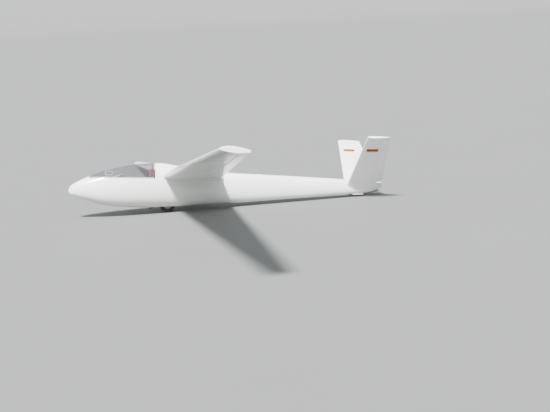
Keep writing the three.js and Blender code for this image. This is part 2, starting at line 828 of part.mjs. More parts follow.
// Total-energy probe on the boom
function probe() {
  const [foot, top, tip] = PROBE.map(([y, z]) => new THREE.Vector3(0, y, z));
  const [halfWidth, halfLength] = PROBE_FOOT_HALF;
  const base = block(-halfWidth, halfWidth, foot.y - halfLength, foot.y + halfLength, ...PROBE_FOOT_Z);
  return base.subtract(skinAround)
    .add(rod(foot, top, PROBE[0][2], PROBE_SIDES))
    .add(rod(top, tip, PROBE[1][2], PROBE_SIDES));
}

// Cockpit

function seatShell() {
  const thick = SHELL_THICKNESS;
  const seat = profile([
    PAN_FRONT.toArray(),
    PAN_REAR.toArray(),
    BACK_TOP.toArray(),
    [BACK_TOP.x + thick, BACK_TOP.y],
    [PAN_REAR.x + thick, PAN_REAR.y - thick],
    [PAN_FRONT.x, PAN_FRONT.y - thick],
  ], -WIDE, WIDE);
  const plate = block(-HEAD_PLATE_HALF_WIDTH, HEAD_PLATE_HALF_WIDTH, BACK_TOP.x, BACK_TOP.x + thick,
    BACK_TOP.y - HEAD_PLATE_LAP, HEAD_PLATE_TOP);
  return seat.intersect(liningBelow).add(plate.intersect(lining));
}

// Pad on a sloping side line from one point to another, raised by GAP
function pad(from, to, [start, end, thickness, halfWidth]) {
  const along = to.clone().sub(from).normalize();
  const up = new THREE.Vector2(-along.y, along.x);
  const corner = (distance, height) => {
    return from.clone().addScaledVector(along, distance).addScaledVector(up, height).toArray();
  };
  return profile([
    corner(start, GAP),
    corner(end, GAP),
    corner(end - PAD_SLOPE, thickness),
    corner(start + PAD_SLOPE, thickness),
  ], -halfWidth, halfWidth);
}

function headrest() {
  const points = HEADREST.map(([ahead, z]) => [BACK_TOP.x - ahead, z]);
  return profile(points, -HEADREST_HALF_WIDTH, HEADREST_HALF_WIDTH);
}

// Panel with an arch over each leg
function instrumentPanel() {
  const [y0, y1] = [PANEL_Y, PANEL_Y + PANEL_THICKNESS];
  let panel = block(-WIDE, WIDE, y0, y1, ...PANEL_Z).intersect(lining);
  for (const x of [-LEG_ARCH_X, LEG_ARCH_X]) {
    const from = new THREE.Vector3(x, y0 - OUTSIDE, PANEL_Z[0]);
    const to = new THREE.Vector3(x, y1 + OUTSIDE, PANEL_Z[0]);
    panel = panel.subtract(rod(from, to, LEG_ARCH_RADIUS, AXLE_SEGMENTS));
  }
  return panel;
}

function panelCowl() {
  const [y, z] = COWL_FRONT;
  const [rearY, rearZ] = [PANEL_Y - GAP, PANEL_Z[1]];
  const cowl = profile([
    [y, z],
    [rearY, rearZ],
    [rearY, rearZ - COWL_THICKNESS],
    [y, z - COWL_THICKNESS],
  ], -WIDE, WIDE);
  return cowl.intersect(liningAbove);
}

// Body of revolution about the aft axis, from [radius, distance] points
function turnedAft(points) {
  return new THREE.LatheGeometry(points.map(([r, h]) => new THREE.Vector2(r, h)), TURNED_SIDES);
}

function controlStick() {
  const along = PAN_REAR.clone().sub(PAN_FRONT).normalize();
  const foot = PAN_FRONT.clone().addScaledVector(along, STICK_FOOT);
  const geometry = turnedAft(STICK).rotateX(Math.PI / 2 + Math.atan2(along.y, along.x));
  return solid(geometry.translate(0, foot.x, foot.y));
}

function releaseKnob() {
  return solid(turnedAft(KNOB).translate(0, PANEL_Y + PANEL_THICKNESS + GAP, KNOB_Z));
}

function rudderPedals() {
  const [y, z] = [PEDAL_BAR_Y, PEDAL_BAR_Z];
  const from = new THREE.Vector3(-WIDE, y, z);
  const to = new THREE.Vector3(WIDE, y, z);
  let pedals = rod(from, to, PEDAL_BAR_RADIUS, PROBE_SIDES).intersect(liningBelow);
  const points = PEDAL.map(([aft, up]) => [y + aft, z + up]);
  for (const x of [-PEDAL_X, PEDAL_X]) {
    pedals = pedals.add(profile(points, x - PEDAL_HALF_WIDTH, x + PEDAL_HALF_WIDTH));
  }
  return pedals;
}

function airbrakeLever() {
  const rail = block(0, WIDE, ...LEVER_RAIL_Y, ...LEVER_RAIL_Z).intersect(liningBelow)
    .subtract(inside(HULL_WALL + GAP + LEVER_RAIL_DEPTH));
  const [from, to] = LEVER_GRIP_X.map((x) => new THREE.Vector3(x, ...LEVER_GRIP_AT));
  const grip = rod(from, to, LEVER_GRIP_RADIUS, PROBE_SIDES);
  return rail.add(profile(LEVER_ARM, ...LEVER_ARM_X)).add(grip);
}

// Assembly

const glider = new THREE.Group();

function add(name, geometry, finish) {
  const [color, roughness, metalness] = FINISHES[finish];
  const material = new THREE.MeshStandardMaterial({ color, roughness, metalness, flatShading: true });
  if (finish === 'glass') material.setValues({ transparent: true, opacity: 0.35 });
  const mesh = new THREE.Mesh(geometry, material);
  mesh.name = name;
  glider.add(mesh);
  return mesh;
}

function addSolid(name, manifold, finish) {
  return add(name, geometryOf(manifold), finish);
}

function addPair(name, manifold, finish) {
  const geometry = geometryOf(manifold);
  add(`${name}_port`, geometry, finish);
  return add(`${name}_starboard`, mirrored(geometry), finish);
}

const between = (y0, y1) => skin.intersect(slice(y0, y1));
addSolid('nose_cap', between(-FAR, NOSE_JOINT_Y), 'white');
addSolid('cockpit_hull', cockpitHull(), 'white');
addSolid('centre_fuselage', between(COCKPIT_JOINT_Y + GAP, BOOM_JOINT_Y).subtract(wheelWell()), 'white');
addSolid('tail_boom', between(BOOM_JOINT_Y + GAP, TAIL_CONE_JOINT_Y), 'white');
addSolid('tail_cone', between(TAIL_CONE_JOINT_Y + GAP, FAR), 'white');
addSolid('canopy_frame', canopyFrame(), 'white');
addSolid('canopy_glass', canopyGlass(), 'glass');

const [wing, aileron] = wingPanel();
addPair('wing', wing, 'white');
addPair('aileron', aileron, 'white');
const tip = addPair('wing_tip', wingTip(), 'white');
for (const [name, aft, side] of AIRBRAKES) {
  addPair(`airbrake_${name}`, airbrake(aft, side), 'white');
}
addPair('wing_fairing', rootFairing(WING, WING_FAIRING, new THREE.Matrix4()), 'white');

const [stabiliser, ruddervator] = tailPanel();
addPair('stabiliser', stabiliser.subtract(skinAround), 'white');
addPair('ruddervator', ruddervator, 'white');
addPair('tail_fairing', rootFairing(TAIL, TAIL_FAIRING, tailFrame), 'white');

const tyre = addSolid('main_tyre', wheelPart(TYRE_HALF_SECTION), 'rubber');
addSolid('wheel_hub', wheelPart(HUB_HALF_SECTION), 'alloy');
addSolid('wheel_axle', axle(), 'steel');
addSolid('wheel_fork', wheelFork(), 'steel');
addSolid('tail_skid_mount', skidMount(), 'white');
const shoe = addSolid('tail_skid_shoe', skidShoe(), 'rubber');
addSolid('tow_hook', towHook(), 'steel');
addSolid('energy_probe', probe(), 'steel');

addSolid('seat_shell', seatShell(), 'pale');
addSolid('seat_cushion', pad(PAN_FRONT, PAN_REAR, SEAT_PAD), 'red');
addSolid('back_cushion', pad(PAN_REAR, BACK_TOP, BACK_PAD), 'red');
addSolid('headrest', headrest(), 'red');
addSolid('instrument_panel', instrumentPanel(), 'black');
addSolid('panel_cowl', panelCowl(), 'pale');
addSolid('control_stick', controlStick(), 'black');
addSolid('rudder_pedals', rudderPedals(), 'alloy');
addSolid('airbrake_lever', airbrakeLever(), 'blue');
addSolid('tow_release_knob', releaseKnob(), 'yellow');

// Parked attitude

function lowestPoint(mesh, turn) {
  const position = mesh.geometry.attributes.position;
  const point = new THREE.Vector3();
  let lowest = new THREE.Vector3(0, 0, Infinity);
  for (let i = 0; i < position.count; i++) {
    point.fromBufferAttribute(position, i).applyQuaternion(turn);
    if (point.z < lowest.z) lowest = point.clone();
  }
  return lowest;
}

// Turn that brings the lowest points of three supports onto one level floor, the nose still along -Y
function restingTurn(supports) {
  const upright = new THREE.Vector3(0, 0, 1);
  const turn = new THREE.Quaternion();
  for (let pass = 0; pass < RESTING_PASSES; pass++) {
    const [a, b, c] = supports.map((mesh) => lowestPoint(mesh, turn));
    const normal = b.sub(a).cross(c.sub(a)).normalize();
    if (normal.z < 0) normal.negate();
    turn.premultiply(new THREE.Quaternion().setFromUnitVectors(normal, upright));
    const aft = new THREE.Vector3(0, 1, 0).applyQuaternion(turn);
    turn.premultiply(new THREE.Quaternion().setFromAxisAngle(upright, Math.atan2(aft.x, aft.y)));
  }
  return turn;
}

const part = new THREE.Group();
glider.quaternion.copy(restingTurn([tyre, shoe, tip]));
glider.updateMatrixWorld(true);
const bounds = new THREE.Box3().setFromObject(glider, true);
const centre = bounds.getCenter(new THREE.Vector3());
glider.position.set(-centre.x, -centre.y, -bounds.min.z);
part.add(glider);

export default part;
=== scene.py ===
from math import atan2, cos, pi, radians, sin

import bmesh
import bpy
import numpy as np
from mathutils import Matrix, Vector


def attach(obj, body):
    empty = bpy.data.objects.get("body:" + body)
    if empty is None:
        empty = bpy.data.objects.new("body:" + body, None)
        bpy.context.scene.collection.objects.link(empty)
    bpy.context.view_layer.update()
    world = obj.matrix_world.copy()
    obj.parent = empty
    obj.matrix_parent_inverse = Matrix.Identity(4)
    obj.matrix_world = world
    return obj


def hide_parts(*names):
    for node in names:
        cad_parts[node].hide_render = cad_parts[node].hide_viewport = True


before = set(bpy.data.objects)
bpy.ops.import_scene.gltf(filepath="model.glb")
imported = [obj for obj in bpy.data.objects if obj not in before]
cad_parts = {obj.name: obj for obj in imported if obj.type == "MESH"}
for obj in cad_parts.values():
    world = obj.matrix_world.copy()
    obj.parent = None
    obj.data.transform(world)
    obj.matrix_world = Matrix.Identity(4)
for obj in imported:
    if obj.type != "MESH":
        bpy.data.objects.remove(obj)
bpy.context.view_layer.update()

# Glider frame, in metres: +X to port, +Y aft, +Z up, its origin on the centre line at the wing root's
# leading edge. PARKED turns it into the frame's own axes, with the wheel, skid and one wing tip on the floor.
PARKED = Matrix((
    (0.99191191, 0.0, -0.12692814, 0.04334659),
    (0.01112822, 0.99614927, 0.08696428, -1.35074723),
    (0.12643938, -0.08767339, 0.98809233, 0.74617554),
    (0.0, 0.0, 0.0, 1.0),
))
GLIDER_UP = PARKED.col[2].xyz
ORIGIN_UP = GLIDER_UP.dot(PARKED.translation)
GAP = 0.0003


def mm(table):
    """A table of millimetres, in metres."""
    return np.array(table) / 1000


# Fuselage rows: station aft, top, bottom, half width
FUSELAGE = mm([
    (-1880, -312, -322, 5), (-1866, -262, -366, 36), (-1830, -215, -404, 70), (-1750, -156, -434, 112),
    (-1620, -90, -480, 152), (-1492, -30, -516, 186), (-1254, 64, -582, 236), (-1054, 124, -610, 264),
    (-854, 172, -630, 285), (-573, 226, -642, 300), (-250, 252, -644, 302), (-38, 260, -640, 296),
    (131, 243, -634, 287), (333, 208, -625, 272), (779, 136, -597, 238), (1353, 82, -556, 200),
    (1812, 58, -522, 178), (2444, 32, -468, 151), (3296, -6, -400, 121), (3730, -28, -362, 106),
    (3989, -46, -338, 96), (4293, -74, -310, 80), (4489, -96, -262, 58), (4590, -106, -207, 36),
    (4630, -114, -150, 13),
])
SQUARENESS = 2.2
NOSE_TIP, TAIL_END = -1.88, 4.63
NOSE_JOINT, COCKPIT_JOINT, BOOM_JOINT, CONE_JOINT = -1.62, -0.108, 1.3, 4.44
CAVITY_FRONT, CAVITY_REAR, HULL_WALL = -1.6, -0.128, 0.014
SILL_Z, CANOPY_FRONT, CANOPY_REAR = -0.06, -1.478, -0.16
RAIL_HEIGHT, BOW_DEPTH, GLASS_WALL, RAIL_WALL = 0.026, 0.028, 0.005, 0.016


# Mesh helpers

def linked(name, data):
    """A new object in the scene."""
    obj = bpy.data.objects.new(name, data)
    bpy.context.scene.collection.objects.link(obj)
    return obj


def tidy(mesh):
    """Merges double points and turns the faces outwards."""
    work = bmesh.new()
    work.from_mesh(mesh)
    bmesh.ops.remove_doubles(work, verts=work.verts, dist=2e-6)
    bmesh.ops.recalc_face_normals(work, faces=work.faces)
    work.to_mesh(mesh)
    work.free()


def raw(name, shape):
    """A plain object, to finish, to cut or to cut with."""
    mesh = bpy.data.meshes.new(name)
    mesh.from_pydata([tuple(p) for p in shape[0]], [], [tuple(f) for f in shape[1]])
    mesh.validate()
    tidy(mesh)
    return linked(name, mesh)


def evaluated(obj):
    """The object's mesh with its modifiers applied."""
    bpy.context.view_layer.update()
    return bpy.data.meshes.new_from_object(obj.evaluated_get(bpy.context.evaluated_depsgraph_get()))


def cut(name, shape, *cutters):
    """A plain object, less the shapes that follow it."""
    obj = raw(name, shape)
    for cutter_shape in cutters:
        cutter = raw("cutter", cutter_shape)
        modifier = obj.modifiers.new("cut", "BOOLEAN")
        modifier.operation, modifier.object, modifier.solver = "DIFFERENCE", cutter, "EXACT"
        made = evaluated(obj)
        obj.modifiers.clear()
        obj.data = made
        bpy.data.objects.remove(cutter)
    return obj


def mirrored(obj, name):
    """A plain copy across the centre line."""
    twin = linked(name, obj.data.copy())
    twin.data.transform(Matrix.Scale(-1, 4, Vector((1, 0, 0))))
    twin.data.flip_normals()
    return twin


def shade(mesh, sharp):
    """Smooth shading, except at edges sharper than an angle."""
    mesh.polygons.foreach_set("use_smooth", [True] * len(mesh.polygons))
    mesh.set_sharp_from_angle(angle=radians(sharp))


def finish_piece(obj, material, node=None, body="airframe", sharp=32, second=None):
    """Parks a plain object and makes it a piece on a body, in place of a CAD node. Faces whose centre passes
    a test get the second material."""
    mesh = obj.data
    tidy(mesh)
    mesh.materials.clear()
    for one in material if isinstance(material, list) else [material]:
        mesh.materials.append(one)
    if second:
        for face in mesh.polygons:
            face.material_index = int(second(face.center))
    shade(mesh, sharp)
    mesh.transform(PARKED)
    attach(obj, body)
    if node:
        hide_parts(node)
    return obj


def piece(name, shape, material, node=None, body="airframe", sharp=32):
    """A shape in the glider frame, made a piece."""
    return finish_piece(raw(name, shape), material, node, body, sharp)


def bevel(obj, width, segments=3):
    """Rounds the edges that are sharper than 30 degrees."""
    modifier = obj.modifiers.new("edges", "BEVEL")
    modifier.width, modifier.segments = width, segments
    modifier.limit_method, modifier.angle_limit = "ANGLE", radians(30)
    modifier.use_clamp_overlap = True
    return obj


def loft(rings, caps=True):
    """Points and faces through closed rings of equal length."""
    count, n = len(rings), len(rings[0])
    faces = []
    for r in range(count - 1):
        for k in range(n):
            a, b = r * n + k, r * n + (k + 1) % n
            faces.append((a, b, b + n, a + n))
    if caps:
        faces.append(tuple(range(n - 1, -1, -1)))
        faces.append(tuple(range((count - 1) * n, count * n)))
    return np.concatenate(rings), faces


def joined(*parts):
    points, faces, base = [], [], 0
    for p, f in parts:
        points.append(np.asarray(p, float))
        faces += [tuple(i + base for i in face) for face in f]
        base += len(p)
    return np.concatenate(points), faces


def box(x0, x1, y0, y1, z0, z1):
    points = [(x, y, z) for x in (x0, x1) for y in (y0, y1) for z in (z0, z1)]
    faces = [(0, 1, 3, 2), (4, 6, 7, 5), (0, 4, 5, 1), (2, 3, 7, 6), (0, 2, 6, 4), (1, 5, 7, 3)]
    return points, faces


def slab(centre, u, v, half_u, half_v, half_w):
    """Flat block about a centre, along two unit vectors and their normal."""
    u, v = Vector(u).normalized(), Vector(v).normalized()
    w = u.cross(v)
    corners, faces = box(-half_u, half_u, -half_v, half_v, -half_w, half_w)
    return [tuple(Vector(centre) + u * a + v * b + w * c) for a, b, c in corners], faces


def around(u, v, sides):
    """Points of an ellipse about the origin, from the vectors to its two vertices."""
    angle = np.arange(sides) * 2 * pi / sides
    return np.outer(np.cos(angle), u) + np.outer(np.sin(angle), v)


def circles(section, origin, axis, sides):
    axis = Vector(axis).normalized()
    u = axis.orthogonal().normalized()
    ring = around(u, axis.cross(u), sides)
    return [np.array(origin) + along * np.array(axis) + radius * ring for radius, along in section]


def turned(section, origin, axis, sides):
    """Body of revolution from (radius, distance along the axis) pairs, closed at both ends."""
    return loft(circles(section, origin, axis, sides))


def wheel_ring(half, origin, sides):
    """Ring about the X axis from a closed half section of (radius, distance from its middle) pairs."""
    section = [(r, -a) for r, a in half[:0:-1]] + list(half)
    rings = circles(section, origin, (1, 0, 0), sides)
    return loft(rings + rings[:1], caps=False)


def tube(path, radius, sides, closed=False):
    """Round tube along points; radius may be one number or one for each point."""
    path = np.array(path, float)
    if closed:
        path = np.concatenate([path, path[:1]])
    tangent = np.gradient(path, axis=0)
    if closed:
        tangent[0] = tangent[-1] = path[1] - path[-2]
    rings = []
    u = Vector(tangent[0]).orthogonal().normalized()
    for p, t, r in zip(path, tangent, np.broadcast_to(radius, len(path))):
        t = Vector(t).normalized()
        u = (u - t * u.dot(t)).normalized()
        rings.append(p + r * around(u, t.cross(u), sides))
    if closed:
        rings[-1] = rings[0]
    return loft(rings, caps=not closed)


def smooth_path(points, steps):
    """Catmull-Rom curve through the points."""
    p = np.array(points, float)
    p = np.concatenate([[2 * p[0] - p[1]], p, [2 * p[-1] - p[-2]]])
    out = []
    for i in range(1, len(p) - 2):
        for t in np.arange(steps) / steps:
            a, b, c, d = p[i - 1:i + 3]
            out.append(0.5 * (2 * b + (c - a) * t + (2 * a - 5 * b + 4 * c - d) * t ** 2
                              + (3 * b - a - 3 * c + d) * t ** 3))
    return np.array(out + [p[-2]])


def round_rectangle(half_a, half_b, radius, steps=8):
    """Outline of a rectangle with round corners, as (a, b) pairs."""
    out = []
    for corner in range(4):
        angle = np.linspace(0, pi / 2, steps) + corner * pi / 2
        a = (1, -1, -1, 1)[corner] * (half_a - radius) + radius * np.cos(angle)
        b = (1, 1, -1, -1)[corner] * (half_b - radius) + radius * np.sin(angle)
        out += list(zip(a, b))
    return out


# Materials

class Paint:
    """A node material with short calls for its texture nodes."""

    def __init__(self, name, color, roughness, metallic=0.0, **sockets):
        self.made = bpy.data.materials.new(name)
        self.made.use_nodes = True
        self.tree = self.made.node_tree
        self.shader = self.tree.nodes["Principled BSDF"]
        values = {"Base Color": (*color, 1), "Roughness": roughness, "Metallic": metallic}
        values.update((key.replace("_", " "), value) for key, value in sockets.items())
        self.fill(self.shader, values)
        self.where = self.add("TexCoord", {}, "Object")

    def fill(self, node, values):
        """Sets a node's inputs, or links them where the value is another node's output."""
        for key, value in values.items():
            if isinstance(value, bpy.types.NodeSocket):
                self.tree.links.new(value, node.inputs[key])
            else:
                node.inputs[key].default_value = value

    def add(self, kind, values, output=0, **settings):
        """An output of a new node."""
        node = self.tree.nodes.new("ShaderNode" + kind)
        for key, value in settings.items():
            setattr(node, key, value)
        self.fill(node, values)
        return node.outputs[output]

    def noise(self, scale, detail, stretch=None):
        where = self.where
        if stretch:
            where = self.add("VectorMath", {0: where, 1: stretch}, operation="MULTIPLY")
        return self.add("TexNoise", {"Scale": scale, "Detail": detail, "Vector": where}, "Fac")

    def wave(self, scale, direction, distortion):
        values = {"Scale": scale, "Distortion": distortion, "Vector": self.where}
        return self.add("TexWave", values, "Fac", bands_direction=direction)

    def height(self):
        """Height in the glider frame, plus ORIGIN_UP."""
        return self.add("VectorMath", {0: self.where, 1: GLIDER_UP}, "Value", operation="DOT_PRODUCT")

    def ranged(self, value, low, high, to_low=0.0, to_high=1.0):
        values = {"Value": value, "From Min": low, "From Max": high, "To Min": to_low, "To Max": to_high}
        return self.add("MapRange", values, "Result", interpolation_type="SMOOTHSTEP")

    def times(self, a, b):
        return self.add("Math", {0: a, 1: b}, operation="MULTIPLY")

    def mix(self, factor, a, b):
        """A mix of two ends, each a colour or another node's output."""
        a, b = ((*end, 1) if isinstance(end, tuple) else end for end in (a, b))
        return self.add("Mix", {"Factor": factor, 6: a, 7: b}, 2, data_type="RGBA")

    def color(self, factor, a, b):
        self.fill(self.shader, {"Base Color": self.mix(factor, a, b)})

    def rough(self, factor, low, high):
        self.fill(self.shader, {"Roughness": self.ranged(factor, 0.3, 0.7, low, high)})

    def bump(self, height, strength, distance):
        """Adds a bump over those that the shader has."""
        values = {"Strength": strength, "Distance": distance, "Height": height}
        normal = self.shader.inputs["Normal"]
        if normal.links:
            values["Normal"] = normal.links[0].from_socket
        self.fill(self.shader, {"Normal": self.add("Bump", values, "Normal")})
        return self


def white_paint():
    """Gloss paint, a little uneven, darker and olive-grey in streaks towards the belly."""
    low, high, belly_tone = (0.84, 0.845, 0.83), (0.88, 0.885, 0.87), (0.60, 0.61, 0.55)
    p = Paint("white_gelcoat", high, 0.22, Coat_Weight=0.5, Coat_Roughness=0.06)
    base = p.mix(p.ranged(p.noise(0.7, 3), 0.35, 0.7), high, low)
    streaks = p.noise(3.0, 5, (3.0, 0.5, 3.0))
    # Olive-grey darkening in streaks, strongest at the belly and gone by the waist.
    belly, waist = (ORIGIN_UP + z for z in (-0.66, -0.34))
    belly_darkening = p.times(p.ranged(p.height(), belly, waist, 1, 0), p.ranged(streaks, 0.2, 0.8, 0.15, 0.6))
    p.color(belly_darkening, base, belly_tone)
    p.rough(p.noise(0.9, 2), 0.19, 0.25)
    return p.bump(p.noise(300, 2), 0.02, 0.0003).made


def woven(name, dark, light, scale=520.0):
    """Woven cloth with a thread pattern both ways and a soft sheen."""
    p = Paint(name, light, 0.85, Sheen_Weight=0.25, Sheen_Roughness=0.4)
    weave = p.times(p.wave(scale, "X", 0.4), p.wave(scale, "Z", 0.4))
    tone = p.times(p.ranged(p.noise(9, 4), 0.3, 0.75, 0.45, 1.0), p.ranged(weave, 0.0, 1.0, 0.55, 1.0))
    p.color(tone, dark, light)
    return p.bump(weave, 0.5, 0.0006).bump(p.noise(40, 3), 0.25, 0.002).made


def plain(name, dark, light, roughness, grain=420, metallic=0.0, patches=20.0, depth=0.0004):
    """Painted, moulded or metal surface: two tones in patches, uneven gloss and a fine grain."""
    p = Paint(name, light, roughness, metallic)
    p.color(p.ranged(p.noise(patches, 4), 0.35, 0.7), light, dark)
    p.rough(p.noise(2.5 * patches, 3), roughness - 0.08, roughness + 0.12)
    return p.bump(p.noise(grain, 3), 0.3, depth).made


def clear(name, tint, alpha, edge):
    """Thin clear sheet: light passes, and it reflects more towards its edges."""
    p = Paint(name, tint, 0.03, IOR=1.49, Coat_Weight=0.6, Coat_Roughness=0.02)
    facing = p.add("LayerWeight", {"Blend": 0.35}, "Facing")
    p.fill(p.shader, {"Alpha": p.ranged(facing, 0.0, 1.0, alpha, edge)})
    p.color(p.noise(3, 3), tint, tuple(0.94 * c for c in tint))
    return p.bump(p.noise(2.5, 2), 0.03, 0.004).made


def webbing_cloth():
    p = Paint("belt_webbing", (0.05, 0.06, 0.10), 0.75, Sheen_Weight=0.15)
    p.color(p.noise(30, 3), (0.03, 0.04, 0.08), (0.08, 0.09, 0.15))
    return p.bump(p.wave(700, "DIAGONAL", 0.3), 0.6, 0.0006).made


WHITE = white_paint()
INSIDE = plain("cockpit_lining", (0.56, 0.57, 0.57), (0.66, 0.67, 0.67), 0.6, 380, patches=6, depth=0.0008)
# Dark grey inside the wheel well and the airbrake boxes: painted shade in these recesses.
RECESS_SHADE = plain("recess_shade", (0.1, 0.1, 0.1), (0.2, 0.2, 0.19), 0.8, 200)
RED = woven("red_fabric", (0.2, 0.006, 0.014), (0.38, 0.012, 0.026))
PIPING = woven("red_piping", (0.11, 0.004, 0.008), (0.2, 0.008, 0.014), 900)
RUBBER = plain("tyre_rubber", (0.03, 0.028, 0.025), (0.014, 0.014, 0.015), 0.82, 320, patches=26)
# Black rubber for the sill beads; the same material is painted shade on the canopy's rear bow.
SEAL_AND_SHADE = plain("black_seal_and_shade", (0.03, 0.03, 0.03), (0.016, 0.016, 0.018), 0.7, 240)
PANEL = plain("panel_black", (0.016, 0.016, 0.018), (0.034, 0.034, 0.036), 0.55, 600, patches=12)
ALLOY = plain("wheel_alloy", (0.38, 0.38, 0.37), (0.46, 0.47, 0.49), 0.36, 180, 0.95, 30)
STEEL = plain("dark_steel", (0.09, 0.075, 0.06), (0.15, 0.155, 0.165), 0.42, 260, 0.9, 24)
BLUE = plain("lever_blue", (0.02, 0.06, 0.28), (0.03, 0.09, 0.38), 0.4)
YELLOW = plain("knob_yellow", (0.62, 0.36, 0.02), (0.75, 0.46, 0.03), 0.35)
BLACK_STRIPE = plain("stripe_black", (0.012, 0.012, 0.012), (0.02, 0.02, 0.02), 0.35)
RED_STRIPE = plain("stripe_red", (0.28, 0.006, 0.008), (0.34, 0.009, 0.01), 0.35)
GOLD_STRIPE = plain("stripe_gold", (0.42, 0.22, 0.008), (0.5, 0.27, 0.01), 0.35)
DIAL = plain("dial_black", (0.008, 0.008, 0.009), (0.014, 0.014, 0.015), 0.4)
MARKS = plain("dial_marks", (0.62, 0.62, 0.58), (0.74, 0.74, 0.7), 0.5)
CLEAR = clear("canopy_acrylic", (0.1, 0.105, 0.115), 0.22, 0.6)
LENS = clear("dial_lens", (0.5, 0.5, 0.5), 0.06, 0.5)
WEBBING = webbing_cloth()

# Camera, at the photograph's viewing angle: focal length and picture width in pixels
FOCAL, PICTURE_WIDTH, SENSOR_MM = 1184, 550, 36
CAMERA_AT = Vector((24.11, -2.33, -0.07))
RIGHT = Vector((0.19025, 0.98169, 0.0096)).normalized()
AHEAD = Vector((-0.98146, 0.19042, -0.02164)).normalized()


def set_camera():
    camera = linked("camera", bpy.data.cameras.new("camera"))
    camera.data.lens, camera.data.sensor_width = FOCAL * SENSOR_MM / PICTURE_WIDTH, SENSOR_MM
    camera.data.clip_start, camera.data.clip_end = 0.5, 1000
    turn = Matrix((RIGHT, RIGHT.cross(AHEAD).normalized(), -AHEAD)).transposed().to_4x4()
    camera.matrix_world = PARKED @ Matrix.Translation(CAMERA_AT) @ turn
    bpy.context.scene.camera = camera


set_camera()


# Fuselage

def row(place):
    """Fuselage section at a row number with a fraction, smooth through the rows."""
    last = len(FUSELAGE) - 1
    place = min(max(place, 0.0), float(last))
    i = min(int(place), last - 1)
    f, g = place - i, 1 - (place - i)
    pick = [FUSELAGE[min(max(k, 0), last)] for k in (i - 1, i, i + 1, i + 2)]
    a, b = (pick[2] - pick[0]) / 2, (pick[3] - pick[1]) / 2
    return pick[1] * g * g * (1 + 2 * f) + pick[2] * f * f * (3 - 2 * f) + a * f * g * g - b * f * f * g


PLACES = np.linspace(0, len(FUSELAGE) - 1, 4801)
STATIONS = np.array([row(p)[0] for p in PLACES])


def place_of(y):
    return float(np.interp(y, STATIONS, PLACES))


def power(v):
    return np.sign(v) * np.abs(v) ** (2 / SQUARENESS)


def half_at(y, z, grow=0.0):
    """Half width of the skin at a station and a height."""
    _, top, bottom, half = row(place_of(y))
    share = min(abs(z - (top + bottom) / 2) / ((top - bottom) / 2 + grow), 1.0)
    return (half + grow) * (1 - share ** SQUARENESS) ** (1 / SQUARENESS)


def on_skin(y, z, grow=0.0, side=1):
    return np.array([side * half_at(y, z, grow), y, z])


def skin_loft(y0, y1, grow=0.0, step=0.1):
    p0, p1 = place_of(y0), place_of(y1)
    sides = 112
    angle = np.arange(sides) * 2 * pi / sides
    rings = []
    for place in np.linspace(p0, p1, max(2, int((p1 - p0) / step) + 1)):
        y, top, bottom, half = row(place)
        up = (top + bottom) / 2 + ((top - bottom) / 2 + grow) * power(np.sin(angle))
        rings.append(np.stack([(half + grow) * power(np.cos(angle)), np.full(sides, y), up], 1))
    return loft(rings)


def in_shell(c, depth):
    """Whether a point lies deeper under the skin than a depth."""
    _, top, bottom, half = row(place_of(c[1]))
    across = abs(c[0]) / (half - depth)
    up = abs(c[2] - (top + bottom) / 2) / ((top - bottom) / 2 - depth)
    return across ** SQUARENESS + up ** SQUARENESS < 1


# The step in rows of the finer lofts, a small overlap, and how far a cutting loft goes on past both ends
FINE, EXTRA, BEYOND = 0.07, 0.002, 0.1
WHEEL = Vector((0, 0.11, -0.595))
WELL_X, WELL_REACH = 0.082, 0.174
piece("nose", skin_loft(NOSE_TIP, NOSE_JOINT), WHITE, "nose_cap")
piece("boom", skin_loft(BOOM_JOINT + GAP, CONE_JOINT), WHITE, "tail_boom")
piece("cone", skin_loft(CONE_JOINT + GAP, TAIL_END), WHITE, "tail_cone")
hull = cut("hull", skin_loft(NOSE_JOINT + GAP, COCKPIT_JOINT, step=FINE),
           skin_loft(CAVITY_FRONT, CAVITY_REAR, -HULL_WALL, FINE),
           box(-1, 1, CANOPY_FRONT, CANOPY_REAR, SILL_Z, 1))
finish_piece(
    hull, [WHITE, INSIDE], "cockpit_hull",
    second=lambda c: CAVITY_FRONT - EXTRA < c.y < CAVITY_REAR + EXTRA and in_shell(c, HULL_WALL / 2))
centre = cut("centre", skin_loft(COCKPIT_JOINT + GAP, BOOM_JOINT, step=0.08),
             box(-WELL_X, WELL_X, WHEEL.y - WELL_REACH, WHEEL.y + WELL_REACH, -1, WHEEL.z + WELL_REACH))
# The wheel well's faces take the dark material, as painted shade.
finish_piece(
    centre, [WHITE, RECESS_SHADE], "centre_fuselage",
    second=lambda c: abs(c.x) < WELL_X + EXTRA and abs(c.y - WHEEL.y) < WELL_REACH + EXTRA
    and c.z < WHEEL.z + WELL_REACH + EXTRA and in_shell(c, EXTRA))


# Canopy: one clear sheet down to the sill, over a frame with a rail on each sill and a bow at each end

def canopy():
    y0, y1 = CANOPY_FRONT + GAP, CANOPY_REAR - GAP
    ends = y0 - BEYOND, y1 + BEYOND
    below = box(-1, 1, -3, 1, -2, SILL_Z + GAP)
    sheet = cut("canopy_sheet", skin_loft(y0, y1, step=FINE), skin_loft(*ends, -GLASS_WALL, FINE), below)
    finish_piece(sheet, CLEAR, "canopy_glass", "canopy")
    rim = cut("canopy_rim", skin_loft(y0, y1, -GLASS_WALL - GAP, FINE), skin_loft(*ends, -RAIL_WALL, FINE),
              below, box(-1, 1, y0 + BOW_DEPTH, y1 - BOW_DEPTH, SILL_Z + RAIL_HEIGHT, 1))
    # The rear bow's outer faces below a height get the black material: painted shade, a dark strip for the
    # shadowed gap behind the headrest.
    dark_from, dark_to = y1 - BOW_DEPTH - EXTRA, 0.13
    finish_piece(rim, [WHITE, SEAL_AND_SHADE], "canopy_frame", "canopy",
                 second=lambda c: c.y > dark_from and c.z < dark_to and not in_shell(c, RAIL_WALL / 2))


canopy()


